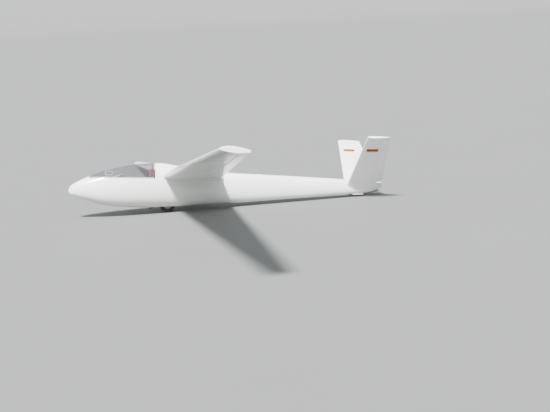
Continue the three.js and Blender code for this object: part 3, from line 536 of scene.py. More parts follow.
def vent_window():
    """Small sliding window in the port side of the sheet: its pale edge, and its knob."""
    y, z, half_a, half_b, radius, width, rise = -1.085, 0.046, 0.072, 0.040, 0.034, 0.003, 0.0016
    outer = round_rectangle(half_a, half_b, radius)
    inner = round_rectangle(half_a - width, half_b - width, radius - width)
    rings = [
        np.array([on_skin(y + a, z + b, grow) for (a, b), grow in ((q, 0), (q, rise), (p, rise), (p, 0))])
        for p, q in zip(outer, inner)]
    piece("vent_edge", loft(rings + rings[:1], caps=False), INSIDE, body="canopy")
    out = Vector((0.8, -0.15, 0.6)).normalized()
    section = mm([(1, -4), (6, -4), (6, 2), (9, 4), (9, 10), (7, 12), (1, 12.5)])
    knob = turned(section, on_skin(y + 0.045, z), out, 32)
    piece("vent_knob", knob, PANEL, body="canopy")


vent_window()

# Canopy hinges, on the starboard sill
HINGE_STATIONS, HINGE_OUT, HINGE_UP = (-0.72, -0.30), 0.306, -0.05
BARREL, PIN, KNUCKLE, SIDE_GAP = 0.008, 0.003, 0.024, 0.001


def plate(outline, y0, y1):
    """Closed plate from an (x, z) outline, between two stations."""
    return loft([np.array([(x, y, z) for x, z in outline]) for y in (y0, y1)])


def barrel(y0, y1, radius=BARREL):
    edge = 0.0008
    section = [(radius - edge, 0), (radius, edge), (radius, y1 - y0 - edge), (radius - edge, y1 - y0)]
    return turned(section, (-HINGE_OUT, y0, HINGE_UP), (0, 1, 0), 40)


def hinges():
    fixed, moving = [], []
    inner, outer, low_z = KNUCKLE / 2 + SIDE_GAP, 1.5 * KNUCKLE, -0.1
    for station in HINGE_STATIONS:
        sill, low = half_at(station, SILL_Z), half_at(station, low_z)
        leg = [
            (-HINGE_OUT - 0.006, HINGE_UP), (-HINGE_OUT + 0.005, HINGE_UP), (-sill - 0.002, SILL_Z - 0.003),
            (-sill + 0.003, SILL_Z - 0.008), (-low + 0.003, low_z), (-low - 0.005, low_z),
            (-sill - 0.012, SILL_Z - 0.016)]
        for y0, y1 in ((station - outer, station - inner), (station + inner, station + outer)):
            fixed += [barrel(y0, y1), plate(leg, y0, y1)]
        fixed.append(barrel(station - inner, station + inner, PIN))
        y0, y1 = station - KNUCKLE / 2, station + KNUCKLE / 2
        rise = [half_at(station, z) for z in (-0.046, -0.02)]
        leaf = [
            (-HINGE_OUT, HINGE_UP + 0.008), (-HINGE_OUT + 0.006, HINGE_UP + 0.003),
            (-rise[0] + 0.003, -0.049), (-rise[1] + 0.003, -0.02), (-rise[1] - 0.003, -0.02),
            (-rise[0] - 0.003, -0.0425)]
        moving += [barrel(y0, y1), plate(leaf, y0, y1)]
    bevel(piece("hinge_brackets", joined(*fixed), STEEL), 0.0006, 2)
    bevel(piece("hinge_leaves", joined(*moving), STEEL, body="canopy"), 0.0006, 2)


hinges()


def sill_edges():
    """Rubber bead along the inner edge of each sill, and the latch inside the port rail."""
    paths = [[on_skin(y, SILL_Z - 0.006, -HULL_WALL - 0.001, side) for y in np.linspace(-1.4, -0.18, 50)]
             for side in (1, -1)]
    piece("sill_beads", joined(*(tube(path, 0.004, 10) for path in paths)), SEAL_AND_SHADE)
    section = mm([(1, -4), (10, -4), (10, 4), (6, 6), (6, 20), (8, 24), (9, 40), (7, 46), (1, 47)])
    latch = turned(section, on_skin(-0.80, SILL_Z + 0.014, -RAIL_WALL), (-1, 0, 0.15), 32)
    piece("latch", latch, PANEL, body="canopy")


sill_edges()


# Wings

HALF_SPAN, ROOT_CHORD, TIP_CHORD = 8.0, 1.205, 0.46
WING_IN, WING_JOINT, AILERON_IN, AILERON_OUT = 0.15, 7.88, 4.3, 7.76
EDGE, NOSE_FIT, CLEARANCE, PIN_RADIUS, PIN_REACH = 0.0018, 0.985, 0.006, 0.005, 0.03


def half_thickness(t, x):
    return 5 * t * (0.2969 * np.sqrt(x) - 0.126 * x - 0.3516 * x ** 2 + 0.2843 * x ** 3 - 0.1036 * x ** 4)


def mean_line(camber, at, x):
    x = np.asarray(x, float)
    scale = np.where(x < at, camber / at ** 2, camber / (1 - at) ** 2)
    return scale * (np.where(x < at, 0, 1 - 2 * at) + 2 * at * x - x * x)


class Surface:
    """A tapered lifting surface: sections for a chord of 1, and where a point of them goes."""

    def __init__(self, thickness, camber, at, hinge, chords, length, sweep, rise, slope):
        self.t, self.camber, self.at, self.hinge = thickness, camber, at, hinge
        self.chords, self.length, self.sweep, self.rise, self.slope = chords, length, sweep, rise, slope
        self.mean = float(mean_line(camber, at, hinge))
        self.nose = float(half_thickness(thickness, hinge)) * NOSE_FIT

    def chord(self, x):
        return self.chords[0] + (self.chords[1] - self.chords[0]) * x / self.length

    def face(self, x, side):
        """Height of the upper face, side 1, or the lower face, side -1."""
        x = np.asarray(x, float)
        return mean_line(self.camber, self.at, x) + side * (half_thickness(self.t, x) + EDGE * x)

    def line(self, x, side):
        return np.stack([x, self.face(x, side)], 1)

    def place(self, x, a, u):
        x, a, u = (np.asarray(v, float) for v in np.broadcast_arrays(x, a, u))
        share = x / self.length
        return np.stack([x, self.sweep * share + a, self.rise * share + u + self.slope * a], -1)

    def ring(self, x, section, chord_share=1.0, thickness_share=1.0, grow=0.0):
        c = self.chord(x)
        a = c * (1 - chord_share) / 2 + section[:, 0] * c * chord_share
        u = section[:, 1] * c * thickness_share
        if grow:
            da, du = np.roll(a, -1) - np.roll(a, 1), np.roll(u, -1) - np.roll(u, 1)
            length = np.hypot(da, du)
            a, u = a + grow * du / length, u - grow * da / length
        return self.place(x, a, u)

    def whole(self, n):
        s = (1 - np.cos(np.linspace(0, pi, n))) / 2
        return np.concatenate([self.line(s[::-1], 1), self.line(s[1:], -1)])

    def fixed(self, chord, n=40):
        """Section ahead of a control surface, with a hollow for its round nose."""
        r = self.nose + CLEARANCE / chord
        s = self.hinge * (1 - np.cos(np.linspace(0, pi, n))) / 2
        upper, lower = (line[np.hypot(s - self.hinge, line[:, 1] - self.mean) >= r]
                        for line in (self.line(s, 1), self.line(s, -1)))
        pivot = np.array([self.hinge, self.mean])
        start, end = (atan2(*(line[-1] - pivot)[::-1]) % (2 * pi) for line in (lower, upper))
        arc = np.linspace(start, end, 18)
        hollow = pivot + r * np.stack([np.cos(arc), np.sin(arc)], 1)
        return np.concatenate([upper[::-1], lower[1:], hollow])

    def moving(self, n=26):
        """Section of the control surface, with its round nose."""
        s = self.hinge + (1 - self.hinge) * (1 - np.cos(np.linspace(0, pi / 2, n)))
        arc = np.linspace(pi / 2, 3 * pi / 2, n)[1:-1]
        nose = np.array([self.hinge, self.mean]) + self.nose * np.stack([np.cos(arc), np.sin(arc)], 1)
        return np.concatenate([self.line(s[::-1], 1), nose, self.line(s, -1)])

    def span(self, x0, x1, section, steps):
        return loft([self.ring(x, section) for x in np.linspace(x0, x1, steps)])

    def fixed_span(self, x0, x1, steps):
        """Span ahead of a control surface. Its hollow keeps one clearance, worked out at the middle chord."""
        return self.span(x0, x1, self.fixed(self.chord((x0 + x1) / 2)), steps)

    def fillet(self, table, section, steps):
        """Root fairing from rows of (distance out, growth of the section)."""
        return loft([self.ring(x, section, grow=float(np.interp(x, *zip(*table))))
                     for x in np.linspace(table[0][0], table[-1][0], steps)])

    def pins(self, x0, x1):
        """The pin at each end of a control surface."""
        overlap = 0.02
        ends = ((x0 - overlap, x0 + PIN_REACH), (x1 - PIN_REACH, x1 + overlap))
        return joined(*(tube([self.hinge_at(a), self.hinge_at(b)], PIN_RADIUS, 20) for a, b in ends))

    def hinge_at(self, x):
        c = self.chord(x)
        return self.place(x, self.hinge * c, self.mean * c)

    def patch(self, x0, x1, a0, a1, side, outer, inner, steps=(12, 9)):
        """Slab that follows a face, between two distances out and two aft of the leading edge line."""
        rings = []
        for x in np.linspace(x0, x1, steps[0]):
            c = self.chord(x)
            a = np.linspace(a0, a1, steps[1]) - self.sweep * x / self.length
            u = self.face(a / c, side) * c
            heights = np.concatenate([u + side * outer, (u + side * inner)[::-1]])
            rings.append(self.place(x, np.concatenate([a, a[::-1]]), heights))
        return loft(rings)


WING = Surface(0.18, 0.035, 0.45, 0.76, (ROOT_CHORD, TIP_CHORD), HALF_SPAN, 0.009, 0.353, -0.03)
TAIL = Surface(0.12, 0.0, 0.5, 0.70, (0.735, 0.478), 1.45, 0.121, 0.0, 0.0)
WING_SECTION, TAIL_SECTION = WING.whole(60), TAIL.whole(44)

# Airbrakes: name, distance aft, face
BRAKES = (("upper", 0.405, 1), ("lower", 0.490, -1))
BRAKE_IN, BRAKE_OUT, CAP_HALF, CAP_THICK, BLADE_HALF, BLADE_DEPTH = 2.9, 3.9, 0.020, 0.006, 0.004, 0.088


def inner_wing():
    """Wing between the fuselage and the aileron, with the airbrakes' recesses and slots."""
    rooms = []
    for _, aft, side in BRAKES:
        for half, depth, spare in ((CAP_HALF, CAP_THICK + GAP, CLEARANCE),
                                   (BLADE_HALF, BLADE_DEPTH + CLEARANCE, 0)):
            half += CLEARANCE
            rooms.append(WING.patch(
                BRAKE_IN - spare, BRAKE_OUT + spare, aft - half, aft + half, side, EXTRA, -depth))
    obj = cut("wing_inner", WING.span(WING_IN, AILERON_IN, WING_SECTION, 24), *rooms)
    shape = [tuple(v.co) for v in obj.data.vertices], [tuple(f.vertices) for f in obj.data.polygons]
    bpy.data.objects.remove(obj)
    return shape


def in_brake_room(c):
    """Whether a face's centre lies under the wing's skin, along the airbrakes."""
    x = abs(c.x)
    if not BRAKE_IN - 2 * CLEARANCE < x < BRAKE_OUT + 2 * CLEARANCE:
        return False
    chord, aft, under = WING.chord(x), c.y - WING.sweep * x / WING.length, 0.001
    up = c.z - WING.rise * x / WING.length - WING.slope * aft
    return WING.face(aft / chord, -1) * chord + under < up < WING.face(aft / chord, 1) * chord - under


# Wing tip rows: distance out from the joint, share of chord, share of thickness, droop of the lower face
TIP = np.array([
    (0, 1, 1, 0), (0.03, 1, 1, 0.006), (0.06, 0.995, 0.98, 0.018), (0.085, 0.98, 0.93, 0.03),
    (0.1, 0.97, 0.87, 0.036), (0.112, 0.95, 0.76, 0.038), (0.12, 0.92, 0.62, 0.036)])
DROOP_FULL, DROOP_EDGE = 0.65, 0.75


def wing_tip():
    along = WING_SECTION[:, 0]
    aft = along / DROOP_FULL
    ahead = aft * aft * (3 - 2 * aft)
    behind = 1 - (1 - DROOP_EDGE) * (along - DROOP_FULL) / (1 - DROOP_FULL)
    lower_face = np.arange(len(along)) > len(along) // 2
    share = np.where(aft < 1, ahead, behind) * lower_face
    rings = []
    for out in np.concatenate([[GAP], np.linspace(0.008, 0.1, 16), np.linspace(0.103, 0.12, 10)]):
        chord_share, thickness_share, droop = (float(np.interp(out, TIP[:, 0], TIP[:, k])) for k in (1, 2, 3))
        ring = WING.ring(WING_JOINT + out, WING_SECTION, chord_share, thickness_share)
        ring[:, 2] -= droop * share
        rings.append(ring)
    return loft(rings)


def pair(name, shape, material, node=None, body="airframe", second=None):
    """The port piece and its mirror image, each in place of its CAD node."""
    port = raw(f"{name}_port", shape)
    for obj, side in ((port, "port"), (mirrored(port, f"{name}_starboard"), "starboard")):
        finish_piece(obj, material, node and node.format(side), body.format(side), second=second)


def wings():
    fairing = mm([(150, 62), (225, 36), (255, 23), (280, 12), (305, 5), (335, 1)])
    panel = joined(inner_wing(), WING.fixed_span(AILERON_IN, AILERON_OUT, 20),
                   WING.span(AILERON_OUT, WING_JOINT, WING_SECTION, 3), WING.pins(AILERON_IN, AILERON_OUT))
    aileron = WING.span(AILERON_IN + CLEARANCE, AILERON_OUT - CLEARANCE, WING.moving(), 24)
    # The airbrake boxes' faces take the dark material, as painted shade.
    pair("wing_skin", panel, [WHITE, RECESS_SHADE], "wing_{}", second=in_brake_room)
    pair("aileron_skin", aileron, WHITE, "aileron_{}", "{}_aileron")
    pair("tip_skin", wing_tip(), WHITE, "wing_tip_{}")
    pair("root_fillet", WING.fillet(fairing, WING_SECTION, 26), WHITE, "wing_fairing_{}")
    for name, aft, side in BRAKES:
        body = f"{{}}_{name}_airbrake"
        cap = WING.patch(BRAKE_IN, BRAKE_OUT, aft - CAP_HALF, aft + CAP_HALF, side, 0, -CAP_THICK)
        blade = WING.patch(BRAKE_IN + CLEARANCE, BRAKE_OUT - CLEARANCE, aft - BLADE_HALF, aft + BLADE_HALF,
                           side, -CAP_THICK + GAP, -BLADE_DEPTH, (12, 3))
        pair(f"{name}_brake_cap", cap, WHITE, f"airbrake_{name}_{{}}", body)
        pair(f"{name}_brake_blade", blade, ALLOY, None, body)


wings()


# V-tail

DIHEDRAL = radians(40.3)
TAIL_ROOT = np.array([0.12, 3.861, -0.123])
TAIL_IN, TAIL_OUT = -0.09, 1.45
RUDDER_IN, RUDDER_OUT, ROOT_CUT = 0.045, 1.395, 0.08

# Tail tip rows: distance out, share of thickness
TAIL_TIP = ((RUDDER_OUT, 1.0), (1.43, 1.0), (1.440, 0.985), (1.445, 0.94), (1.448, 0.86), (TAIL_OUT, 0.72))
TIP_CHORD_LOSS = 0.12


def on_tail(shape):
    """Turns a shape of the panel's own frame into its place."""
    p = np.asarray(shape[0], float)
    c, s = cos(DIHEDRAL), sin(DIHEDRAL)
    return np.stack([p[:, 0] * c - p[:, 2] * s, p[:, 1], p[:, 0] * s + p[:, 2] * c], 1) + TAIL_ROOT, shape[1]


def stabiliser():
    rings = [TAIL.ring(x, TAIL_SECTION, 1 - (1 - share) * TIP_CHORD_LOSS, share) for x, share in TAIL_TIP]
    return joined(TAIL.span(TAIL_IN, RUDDER_IN, TAIL_SECTION, 6), TAIL.fixed_span(RUDDER_IN, RUDDER_OUT, 14),
                  loft(rings), TAIL.pins(RUDDER_IN, RUDDER_OUT))


def ruddervator():
    """Control surface whose inner end is cut back towards the trailing edge."""
    section = TAIL.moving()
    x0, x1 = RUDDER_IN + CLEARANCE, RUDDER_OUT - CLEARANCE
    rings = []
    for x in np.linspace(x0, x1, 18):
        behind = np.maximum(section[:, 0] - TAIL.hinge, 0) / (1 - TAIL.hinge)
        at = x + ROOT_CUT * behind * (x1 - x) / (x1 - x0)
        rings.append(TAIL.place(at, section[:, 0] * TAIL.chord(at), section[:, 1] * TAIL.chord(at)))
    return loft(rings)


TAIL_FAIRING = mm([(-90, 26), (-65, 16.5), (-40, 9.5), (-10, 4.5), (20, 1.7), (40, 0.8)])
pair("stabiliser_skin", on_tail(stabiliser()), WHITE, "stabiliser_{}")
pair("ruddervator_skin", on_tail(ruddervator()), WHITE, "ruddervator_{}", "{}_ruddervator")
pair("tail_fillet", on_tail(TAIL.fillet(TAIL_FAIRING, TAIL_SECTION, 16)), WHITE, "tail_fairing_{}")

# Three-colour stripe on both faces of each panel, outermost band first
STRIPE_X, STRIPE_AFT, STRIPE_THICK = (1.12, 1.03), (0.175, 0.42), 0.0004
BANDS = (("black", BLACK_STRIPE, "panel_black"), ("red", RED_STRIPE, "red_fabric"),
         ("gold", GOLD_STRIPE, "knob_yellow"))
edges = np.linspace(*STRIPE_X, len(BANDS) + 1)
for (band, paint, band_slot), outer_x, inner_x in zip(BANDS, edges, edges[1:]):
    faces_of_band = [TAIL.patch(inner_x, outer_x, *STRIPE_AFT, side, STRIPE_THICK, -STRIPE_THICK, (3, 12))
                     for side in (1, -1)]
    pair(f"stripe_{band}", on_tail(joined(*faces_of_band)), paint)


# Wheel, skid, probe

def main_wheel():
    tread = mm([
        (150, 0), (149.6, 4.5), (146.8, 5.5), (146.8, 8), (149, 9), (148.2, 15.5), (145.3, 16.5), (145.3, 19),
        (147.2, 20), (144.5, 26.5), (140.2, 33.5), (133.5, 40), (126, 45.5), (117, 49), (108, 50), (99, 48.4),
        (90.5, 45), (83, 40), (78, 35.2), (76.3, 34), (76.3, 0)])
    piece("tyre", wheel_ring(tread, WHEEL, 96), RUBBER, "main_tyre", "main_wheel", 40)
    hub = mm([
        (75.5, 0), (75.5, 36.5), (74.2, 38), (68, 38), (65.8, 36.5), (62.8, 16.5), (60, 14), (29, 14),
        (26.4, 16), (24.5, 44), (22.8, 46), (12, 46), (10.7, 44.5), (10.7, 0)])
    piece("hub", wheel_ring(hub, WHEEL, 96), ALLOY, "wheel_hub", "main_wheel")
    bolts = []
    count, circle = 6, 0.044
    head = mm([(0.2, 12.5), (6.8, 12.5), (6.8, 18.5), (6, 19.5), (0.2, 19.5)])
    for angle in (2 * pi * k / count for k in range(count)):
        at = WHEEL + circle * Vector((0, cos(angle), sin(angle)))
        bolts += [turned(head, at, (side, 0, 0), 6) for side in (1, -1)]
    piece("hub_bolts", joined(*bolts), STEEL, body="main_wheel")


main_wheel()

SKID_Y, SKID_TOP, SKID_BOTTOM, SHOE_HALF = (3.992, 4.224), -0.3503, -0.386, 0.030


def skid_shoe():
    """Rubber pad, deepest at its middle, with slightly round edges."""
    rings = []
    corner, count = 0.22, 26
    angle = np.linspace(0, -pi, count)
    x = SHOE_HALF * np.sign(np.cos(angle)) * np.abs(np.cos(angle)) ** corner
    for share in np.linspace(0.004, 0.996, 48):
        drop = (SKID_TOP - SKID_BOTTOM) * sin(pi * share) ** 0.7
        y = SKID_Y[0] + share * (SKID_Y[1] - SKID_Y[0])
        rings.append(np.stack([x, np.full(count, y), SKID_TOP - drop * np.abs(np.sin(angle)) ** corner], 1))
    return loft(rings)


piece("skid_pad", skid_shoe(), RUBBER, "tail_skid_shoe")


def energy_probe():
    y, foot, top = 2.02, 0.052, 0.330
    stem = smooth_path([(0, y, foot), (0, 2.0165, 0.18), (0, 2.0125, 0.305), (0, 2.004, 0.333),
                        (0, 1.950, 0.348)], 10)
    radius = np.interp(stem[:, 2], (foot, top), (0.006, 0.0045))
    ring = around((0.014, 0, 0), (0, 0.030, 0), 40)
    levels = ((0.032, 1), (0.05, 0.95), (0.056, 0.8), (0.06, 0.5), (0.0615, 0.3))
    base = [(0, y, z) + share * ring for z, share in levels]
    piece("probe", joined(tube(stem, radius, 20), loft(base)), ALLOY, "energy_probe")


energy_probe()


# Cockpit: cushions

PAN_FRONT, PAN_REAR = np.array([-0.960, -0.440]), np.array([-0.470, -0.506])
BACK_TOP = np.array([-0.190, -0.070])
PLATE_BOTTOM = np.array([-0.190, -0.030])
INSET, CHANNEL_DEPTH, CHANNEL_WIDTH = 0.006, 0.008, 0.007
PIPING_LEVEL, PIPING_RADIUS = 0.62, 0.0028


def unit(v):
    return v / np.linalg.norm(v)


class Seat:
    """Flat frame on a line of the side view: x across, s along the line, t off it."""

    def __init__(self, origin, along):
        self.origin, self.along = origin, unit(along)
        self.up = np.array([-self.along[1], self.along[0]])

    def out(self, points):
        p = np.asarray(points, float)
        side = self.origin + np.outer(p[:, 1], self.along) + np.outer(p[:, 2], self.up)
        return np.column_stack([p[:, 0], side])

    def vector(self, s, t):
        return Vector((0, *(s * self.along + t * self.up)))


def rounded_block(name, half_x, s0, s1, t0, t1, radius):
    """Block with round edges and corners, in a seat's frame."""
    work = bmesh.new()
    bmesh.ops.create_cube(work, size=1)
    bmesh.ops.scale(work, vec=(2 * half_x, s1 - s0, t1 - t0), verts=work.verts)
    bmesh.ops.translate(work, vec=(0, (s0 + s1) / 2, (t0 + t1) / 2), verts=work.verts)
    bmesh.ops.bevel(work, geom=work.edges, offset=radius, segments=4, profile=0.5, affect="EDGES")
    mesh = bpy.data.meshes.new(name)
    work.to_mesh(mesh)
    work.free()
    return linked(name, mesh)


def coordinates(mesh):
    flat = np.empty(3 * len(mesh.vertices))
    mesh.vertices.foreach_get("co", flat)
    return flat.reshape(-1, 3)


def swollen(obj, cap):
    """Points of a closed mesh after a short cloth run under pressure, none moved further than the cap."""
    before = coordinates(obj.data)
    cloth = obj.modifiers.new("cloth", "CLOTH")
    cloth.settings.use_pressure = True
    cloth.settings.uniform_pressure_force = 4.0
    cloth.settings.effector_weights.gravity = 0.0
    for number in range(1, 21):
        bpy.context.scene.frame_set(number)
    moved = coordinates(evaluated(obj)) - before
    obj.modifiers.remove(cloth)
    bpy.context.scene.frame_set(1)
    reach = np.linalg.norm(moved, axis=1, keepdims=True)
    return before + moved * np.minimum(1, cap / np.maximum(reach, 1e-9))


def finish_pad(obj, seat, points, node=None):
    """Puts a block of a seat's frame into its place, as a padded piece."""
    obj.data.vertices.foreach_set("co", seat.out(points).ravel())
    finish_piece(obj, RED, node, sharp=180)
    smooth = obj.modifiers.new("smooth", "SUBSURF")
    smooth.levels = smooth.render_levels = 1


class Cushion:
    """Padded block on a seat's line, with sewn channels across it and piping round its edge."""

    def __init__(self, name, node, seat, start, end, thick, half, channels, voxel=0.005, cap=0.007):
        self.seat, self.thick = seat, thick
        block = rounded_block(
            name, half - INSET, start + INSET, end - INSET, 0.001, thick - INSET, 0.3 * thick)
        remesh = block.modifiers.new("even", "REMESH")
        remesh.mode, remesh.voxel_size = "VOXEL", voxel
        block.data = evaluated(block)
        block.modifiers.clear()
        p = swollen(block, cap)
        p[:, 2] = np.clip(p[:, 2], GAP, thick)
        on_top = np.clip((p[:, 2] - 0.5 * thick) / (0.3 * thick), 0, 1)
        edge = np.clip((half - np.abs(p[:, 0])) / 0.03, 0, 1)
        for channel in channels:
            fall = np.exp(-((p[:, 1] - channel) / CHANNEL_WIDTH) ** 2)
            p[:, 2] -= CHANNEL_DEPTH * on_top * edge * fall
        self.points = p
        finish_pad(block, seat, p, node)
        self.pipe(name + "_piping", half, start, end)

    def pipe(self, name, half, start, end):
        level, radius = PIPING_LEVEL * self.thick, 0.018
        band = self.points[np.abs(self.points[:, 2] - level) < 0.004]
        path = []
        for a, b in round_rectangle(half, (end - start) / 2, radius, 10):
            aim = np.array([a, b + (start + end) / 2])
            path.append((*band[np.argmin(np.hypot(*(band[:, :2] - aim).T)), :2], level))
        path = (np.roll(path, 1, 0) + path + np.roll(path, -1, 0)) / 3
        piece(name, tube(self.seat.out(path), PIPING_RADIUS, 8, closed=True), PIPING)

    def top(self, x, s):
        """Height of the cushion's face at a place."""
        reach = 0.013
        near = self.points[np.hypot(self.points[:, 0] - x, self.points[:, 1] - s) < reach]
        return near[:, 2].max() if len(near) else 0.0


PAN = Seat(PAN_FRONT, PAN_REAR - PAN_FRONT)
BACK = Seat(PAN_REAR, BACK_TOP - PAN_REAR)
PLATE = Seat(PLATE_BOTTOM, np.array([0.0, 1.0]))
seat_cushion = Cushion("seat_pad", "seat_cushion", PAN, 0.250, 0.470, 0.042, 0.180, (0.325, 0.395))
back_cushion = Cushion("back_pad", "back_cushion", BACK, 0.050, 0.500, 0.062, 0.172, (0.14, 0.23, 0.32, 0.41))
Cushion("head_pad", "headrest", PLATE, 0.0, 0.176, 0.066, 0.120, (0.088,), 0.004)

# The headrest's cover, where it wraps over the top and the back of its plate
head_cover = rounded_block("head_cover", 0.141, 0.004, 0.196, -0.034, 0.006, 0.012)
finish_pad(head_cover, PLATE, coordinates(head_cover.data))


# Cockpit: harness

def webbing(path, across, width=0.044, thick=0.0016):
    """Flat strap along points, its width along the part of a vector that is square to the path."""
    path = smooth_path(path, 8)
    rings = []
    for p, t in zip(path, np.gradient(path, axis=0)):
        t = unit(t)
        side = unit(np.array(across) - t * np.dot(across, t))
        normal = np.cross(side, t)
        rings.append(np.array([p + a * side * width / 2 + b * normal * thick / 2 for a, b in (
            (1, 0), (0.97, 1), (0.5, 1), (0, 1), (-0.5, 1), (-0.97, 1), (-1, 0),
            (-0.97, -1), (-0.5, -1), (0, -1), (0.5, -1), (0.97, -1))]))
    return loft(rings)


def on_pad(pad, x, s, above=0.0016):
    return pad.seat.out([(x, s, pad.top(x, s) + above)])[0]


def harness():
    buckle_s, fitting_above = 0.345, 0.0035
    straps, fittings = [], []
    for side in (1, -1):
        path = [(side * 0.062, -0.188, -0.046), (side * 0.063, -0.225, -0.046)]
        path += [on_pad(back_cushion, side * x, s) for x, s in (
            (0.064, 0.485), (0.066, 0.43), (0.066, 0.36), (0.064, 0.29), (0.06, 0.22), (0.054, 0.15),
            (0.048, 0.09))]
        path += [on_pad(seat_cushion, side * x, s) for x, s in ((0.04, 0.445), (0.032, 0.41), (0.02, 0.375))]
        straps.append(webbing(path, (1, 0, 0)))
        lap = [(side * 0.225, -0.545, -0.470), (side * 0.205, -0.560, -0.455)]
        lap += [on_pad(seat_cushion, side * x, s) for x, s in (
            (0.165, 0.372), (0.13, 0.36), (0.09, 0.352), (0.05, buckle_s), (0.02, buckle_s))]
        straps.append(webbing(lap, (0, 1, 0)))
        for pad, x, s, half_u, half_v in ((back_cushion, 0.0655, 0.40, 0.027, 0.017),
                                          (seat_cushion, 0.105, 0.355, 0.016, 0.027)):
            at = on_pad(pad, side * x, s, fitting_above)
            fittings.append(slab(at, (1, 0, 0), pad.seat.vector(1, 0), half_u, half_v, 0.0022))
    piece("harness", joined(*straps), WEBBING, sharp=60)
    bevel(piece("strap_fittings", joined(*fittings), ALLOY), 0.0012)
    disc = mm([(0.4, -2), (26, -2), (28, 0), (28, 7), (25, 10), (10, 10.5), (9, 14), (0.4, 14.5)])
    buckle = turned(disc, on_pad(seat_cushion, 0, buckle_s, 0.003), PAN.vector(0, 1), 48)
    piece("buckle", buckle, ALLOY)


harness()


def cowl():
    """Glare shield: a crowned plate whose rear edge rolls over the panel."""
    side = mm([
        (-1134, -70), (-1050, -43.5), (-950, -12.5), (-870, 12), (-834, 22.2), (-818, 24.8), (-810, 22.5),
        (-807.5, 16), (-809.5, 12), (-812, 16), (-815, 19.5), (-821.7, 20.5), (-834.3, 20.5), (-834.5, 10),
        (-950, -24.5), (-1134, -81.5)])
    stations, halves, crown = (-1.134, -1.06, -0.8), (0.177, 0.184, 0.183), 0.005
    rings = []
    for across in np.linspace(-1, 1, 25):
        rise = crown * (1 - across * across)
        rings.append(np.array([(across * np.interp(y, stations, halves), y, z + rise) for y, z in side]))
    bevel(piece("glare_shield", loft(rings), WHITE, "panel_cowl", sharp=40), 0.002)


cowl()

# Cockpit: instruments on the panel's aft face, as (across, height, radius, number of marks, pointer's angle)
PANEL_FACE = -0.822
DIALS = ((-0.105, -0.070, 0.040, 12, 215), (0.0, -0.060, 0.040, 24, 150), (0.105, -0.070, 0.040, 10, 270),
         (-0.072, -0.150, 0.027, 8, 200), (0.072, -0.150, 0.027, 8, 330))
SCALE_START, SCALE_ARC = 230, 280


def instruments():
    bezels, dial_faces, marks, lenses = [], [], [], []

    def mark(at, degrees, distance, above, half_long, half_thick, half_wide):
        angle = radians(degrees)
        out = Vector((cos(angle), 0, sin(angle)))
        centre = at + distance * out + Vector((0, above, 0))
        marks.append(slab(centre, out, (0, 1, 0), half_long, half_thick, half_wide))

    for x, z, r, count, pointer in DIALS:
        at, aft = Vector((x, PANEL_FACE, z)), (0, 1, 0)
        bezel = [(0.8 * r, 0), (r, 0), (r, 0.004), (0.96 * r, 0.007), (0.88 * r, 0.007), (0.84 * r, 0.004),
                 (0.8 * r, 0)]
        bezels.append(turned(bezel, at, aft, 56))
        for discs, share, y0, y1 in ((dial_faces, 0.84, 0.0003, 0.002), (lenses, 0.85, 0.0048, 0.0058)):
            discs.append(turned([(0.0002, y0), (share * r, y0), (share * r, y1), (0.0002, y1)], at, aft, 48))
        for k in range(count):
            mark(at, SCALE_START - SCALE_ARC * k / (count - 1), 0.7 * r, 0.0022, 0.09 * r, 0.0003, 0.022 * r)
        mark(at, pointer, 0.25 * r, 0.0032, 0.38 * r, 0.0004, 0.03 * r)
    piece("dial_bezels", joined(*bezels), PANEL)
    piece("dial_faces", joined(*dial_faces), DIAL)
    piece("dial_marks", joined(*marks), MARKS)
    piece("dial_lenses", joined(*lenses), LENS)


instruments()


# Cockpit: controls

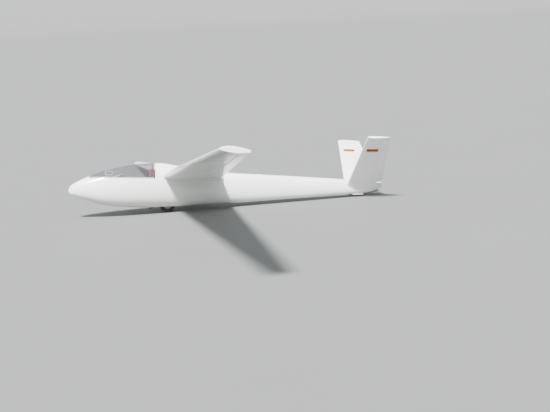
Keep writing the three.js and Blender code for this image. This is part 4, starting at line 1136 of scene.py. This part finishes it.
def controls():
    foot, axis = PAN.out([(0, 0.2, 0)])[0], PAN.vector(0, 1)
    pleats = [(0.4, 0.3), (34, 0.3)]
    for k in range(5):
        r, h = 34 - 4.5 * k, 4 + 12 * k
        pleats += [(r, h), (r - 1, h + 4), (r - 6, h + 9)]
    pleats += [(11.5, 68), (0.4, 68)]
    stem = mm([(0.4, 60), (9, 60), (9, 172), (0.4, 172)])
    grip = [(0.4, 168), (11, 168), (14.5, 172)]
    for h in range(182, 252, 23):
        grip += [(16.5, h), (17.2, h + 6), (16.5, h + 12), (15.2, h + 17.5)]
    grip += [(16, 276), (14.5, 283), (10.5, 287), (0.4, 288)]
    piece("stick_boot", turned(mm(pleats), foot, axis, 48), PANEL, "control_stick", sharp=50)
    piece("stick_stem", turned(stem, foot, axis, 32), STEEL)
    piece("stick_grip", turned(mm(grip), foot, axis, 48), PANEL, sharp=50)
    section = mm([(0.4, 0), (12, 0), (12, 4), (4, 5), (4, 30), (10, 32.5), (15.5, 36), (18, 43), (16.5, 50),
                  (12, 54.5), (6, 56), (0.4, 56)])
    knob = turned(section, (0, PANEL_FACE + GAP, -0.150), (0, 1, 0), 48)
    piece("release_knob", knob, YELLOW, "tow_release_knob", sharp=40)
    low, high, deep = -0.240, -0.215, 0.018
    corners = (low, GAP), (high, GAP), (high, deep), (low, deep)
    rail = [np.array([(half_at(y, z, -HULL_WALL) - inset, y, z) for z, inset in corners])
            for y in np.linspace(-0.8, -0.5, 16)]
    bevel(piece("brake_rail", loft(rail), ALLOY), 0.002)
    side = mm([(-700, -236), (-684, -236), (-650, -120), (-664, -116)])
    arm = [np.array([(x, y, z) for y, z in side]) for x in (0.262, 0.272)]
    bevel(piece("brake_arm", loft(arm), STEEL, "airbrake_lever"), 0.0015)
    section = mm([(0.4, 0), (7, 0.5), (10.5, 3), (11, 8), (10.2, 22), (11, 36), (10.5, 41), (7, 43.5),
                  (0.4, 44)])
    piece("brake_grip", turned(section, (0.272, -0.657, -0.114), (-1, 0, 0), 40), BLUE)


controls()


# Floor, backdrop and light

def stage():
    flat_to, floor_reach, wall, wall_top, sides = 30.0, 300.0, 60.0, 100.0, 96
    rim = [(flat_to, 0.0), (floor_reach, 0.0)]
    rim += [(floor_reach + wall * sin(a), wall - wall * cos(a))
            for a in np.linspace(0, pi / 2, 16)[1:]]
    rim.append((floor_reach + wall, wall_top))
    points, faces = loft([r * around((1, 0, 0), (0, 1, 0), sides) + (0, 0, z) for r, z in rim], caps=False)
    faces.append(tuple(range(sides)))
    floor = raw("floor", (points, faces))
    floor.data.flip_normals()
    shade(floor.data, 30)
    p = Paint("floor", (0.145, 0.15, 0.145), 0.9)
    p.color(p.noise(0.4, 2), (0.14, 0.145, 0.14), (0.15, 0.155, 0.15))
    floor.data.materials.append(p.made)

    world = bpy.data.worlds.new("sky")
    bpy.context.scene.world = world
    world.use_nodes = True
    sky = world.node_tree.nodes["Background"].inputs
    sky["Color"].default_value = (0.93, 0.96, 1.0, 1)
    sky["Strength"].default_value = 1.1
    for name, towards, strength, angle in (
            ("key", (0.49, -0.30, 0.82), 16.0, 9), ("fill", (0.9, -0.3, 0.3), 1.5, 60)):
        light = bpy.data.lights.new(name, "SUN")
        light.energy, light.angle = strength, radians(angle)
        linked(name, light).matrix_world = Vector(towards).to_track_quat("Z", "Y").to_matrix().to_4x4()


stage()

# CAD nodes that stay in sight: their material, and the width of their rounded edges
KEPT = {
    "wheel_axle": (STEEL, 0.001), "wheel_fork": (STEEL, 0.0015), "tail_skid_mount": (WHITE, 0.002),
    "tow_hook": (STEEL, 0.0015), "seat_shell": (INSIDE, 0.002), "instrument_panel": (PANEL, 0.002),
    "rudder_pedals": (ALLOY, 0.0015),
}
for node, (paint, width) in KEPT.items():
    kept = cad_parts[node]
    if not kept.material_slots:
        kept.data.materials.append(paint)
    for material_slot in kept.material_slots:
        material_slot.material = paint
    bevel(kept, width, 2)
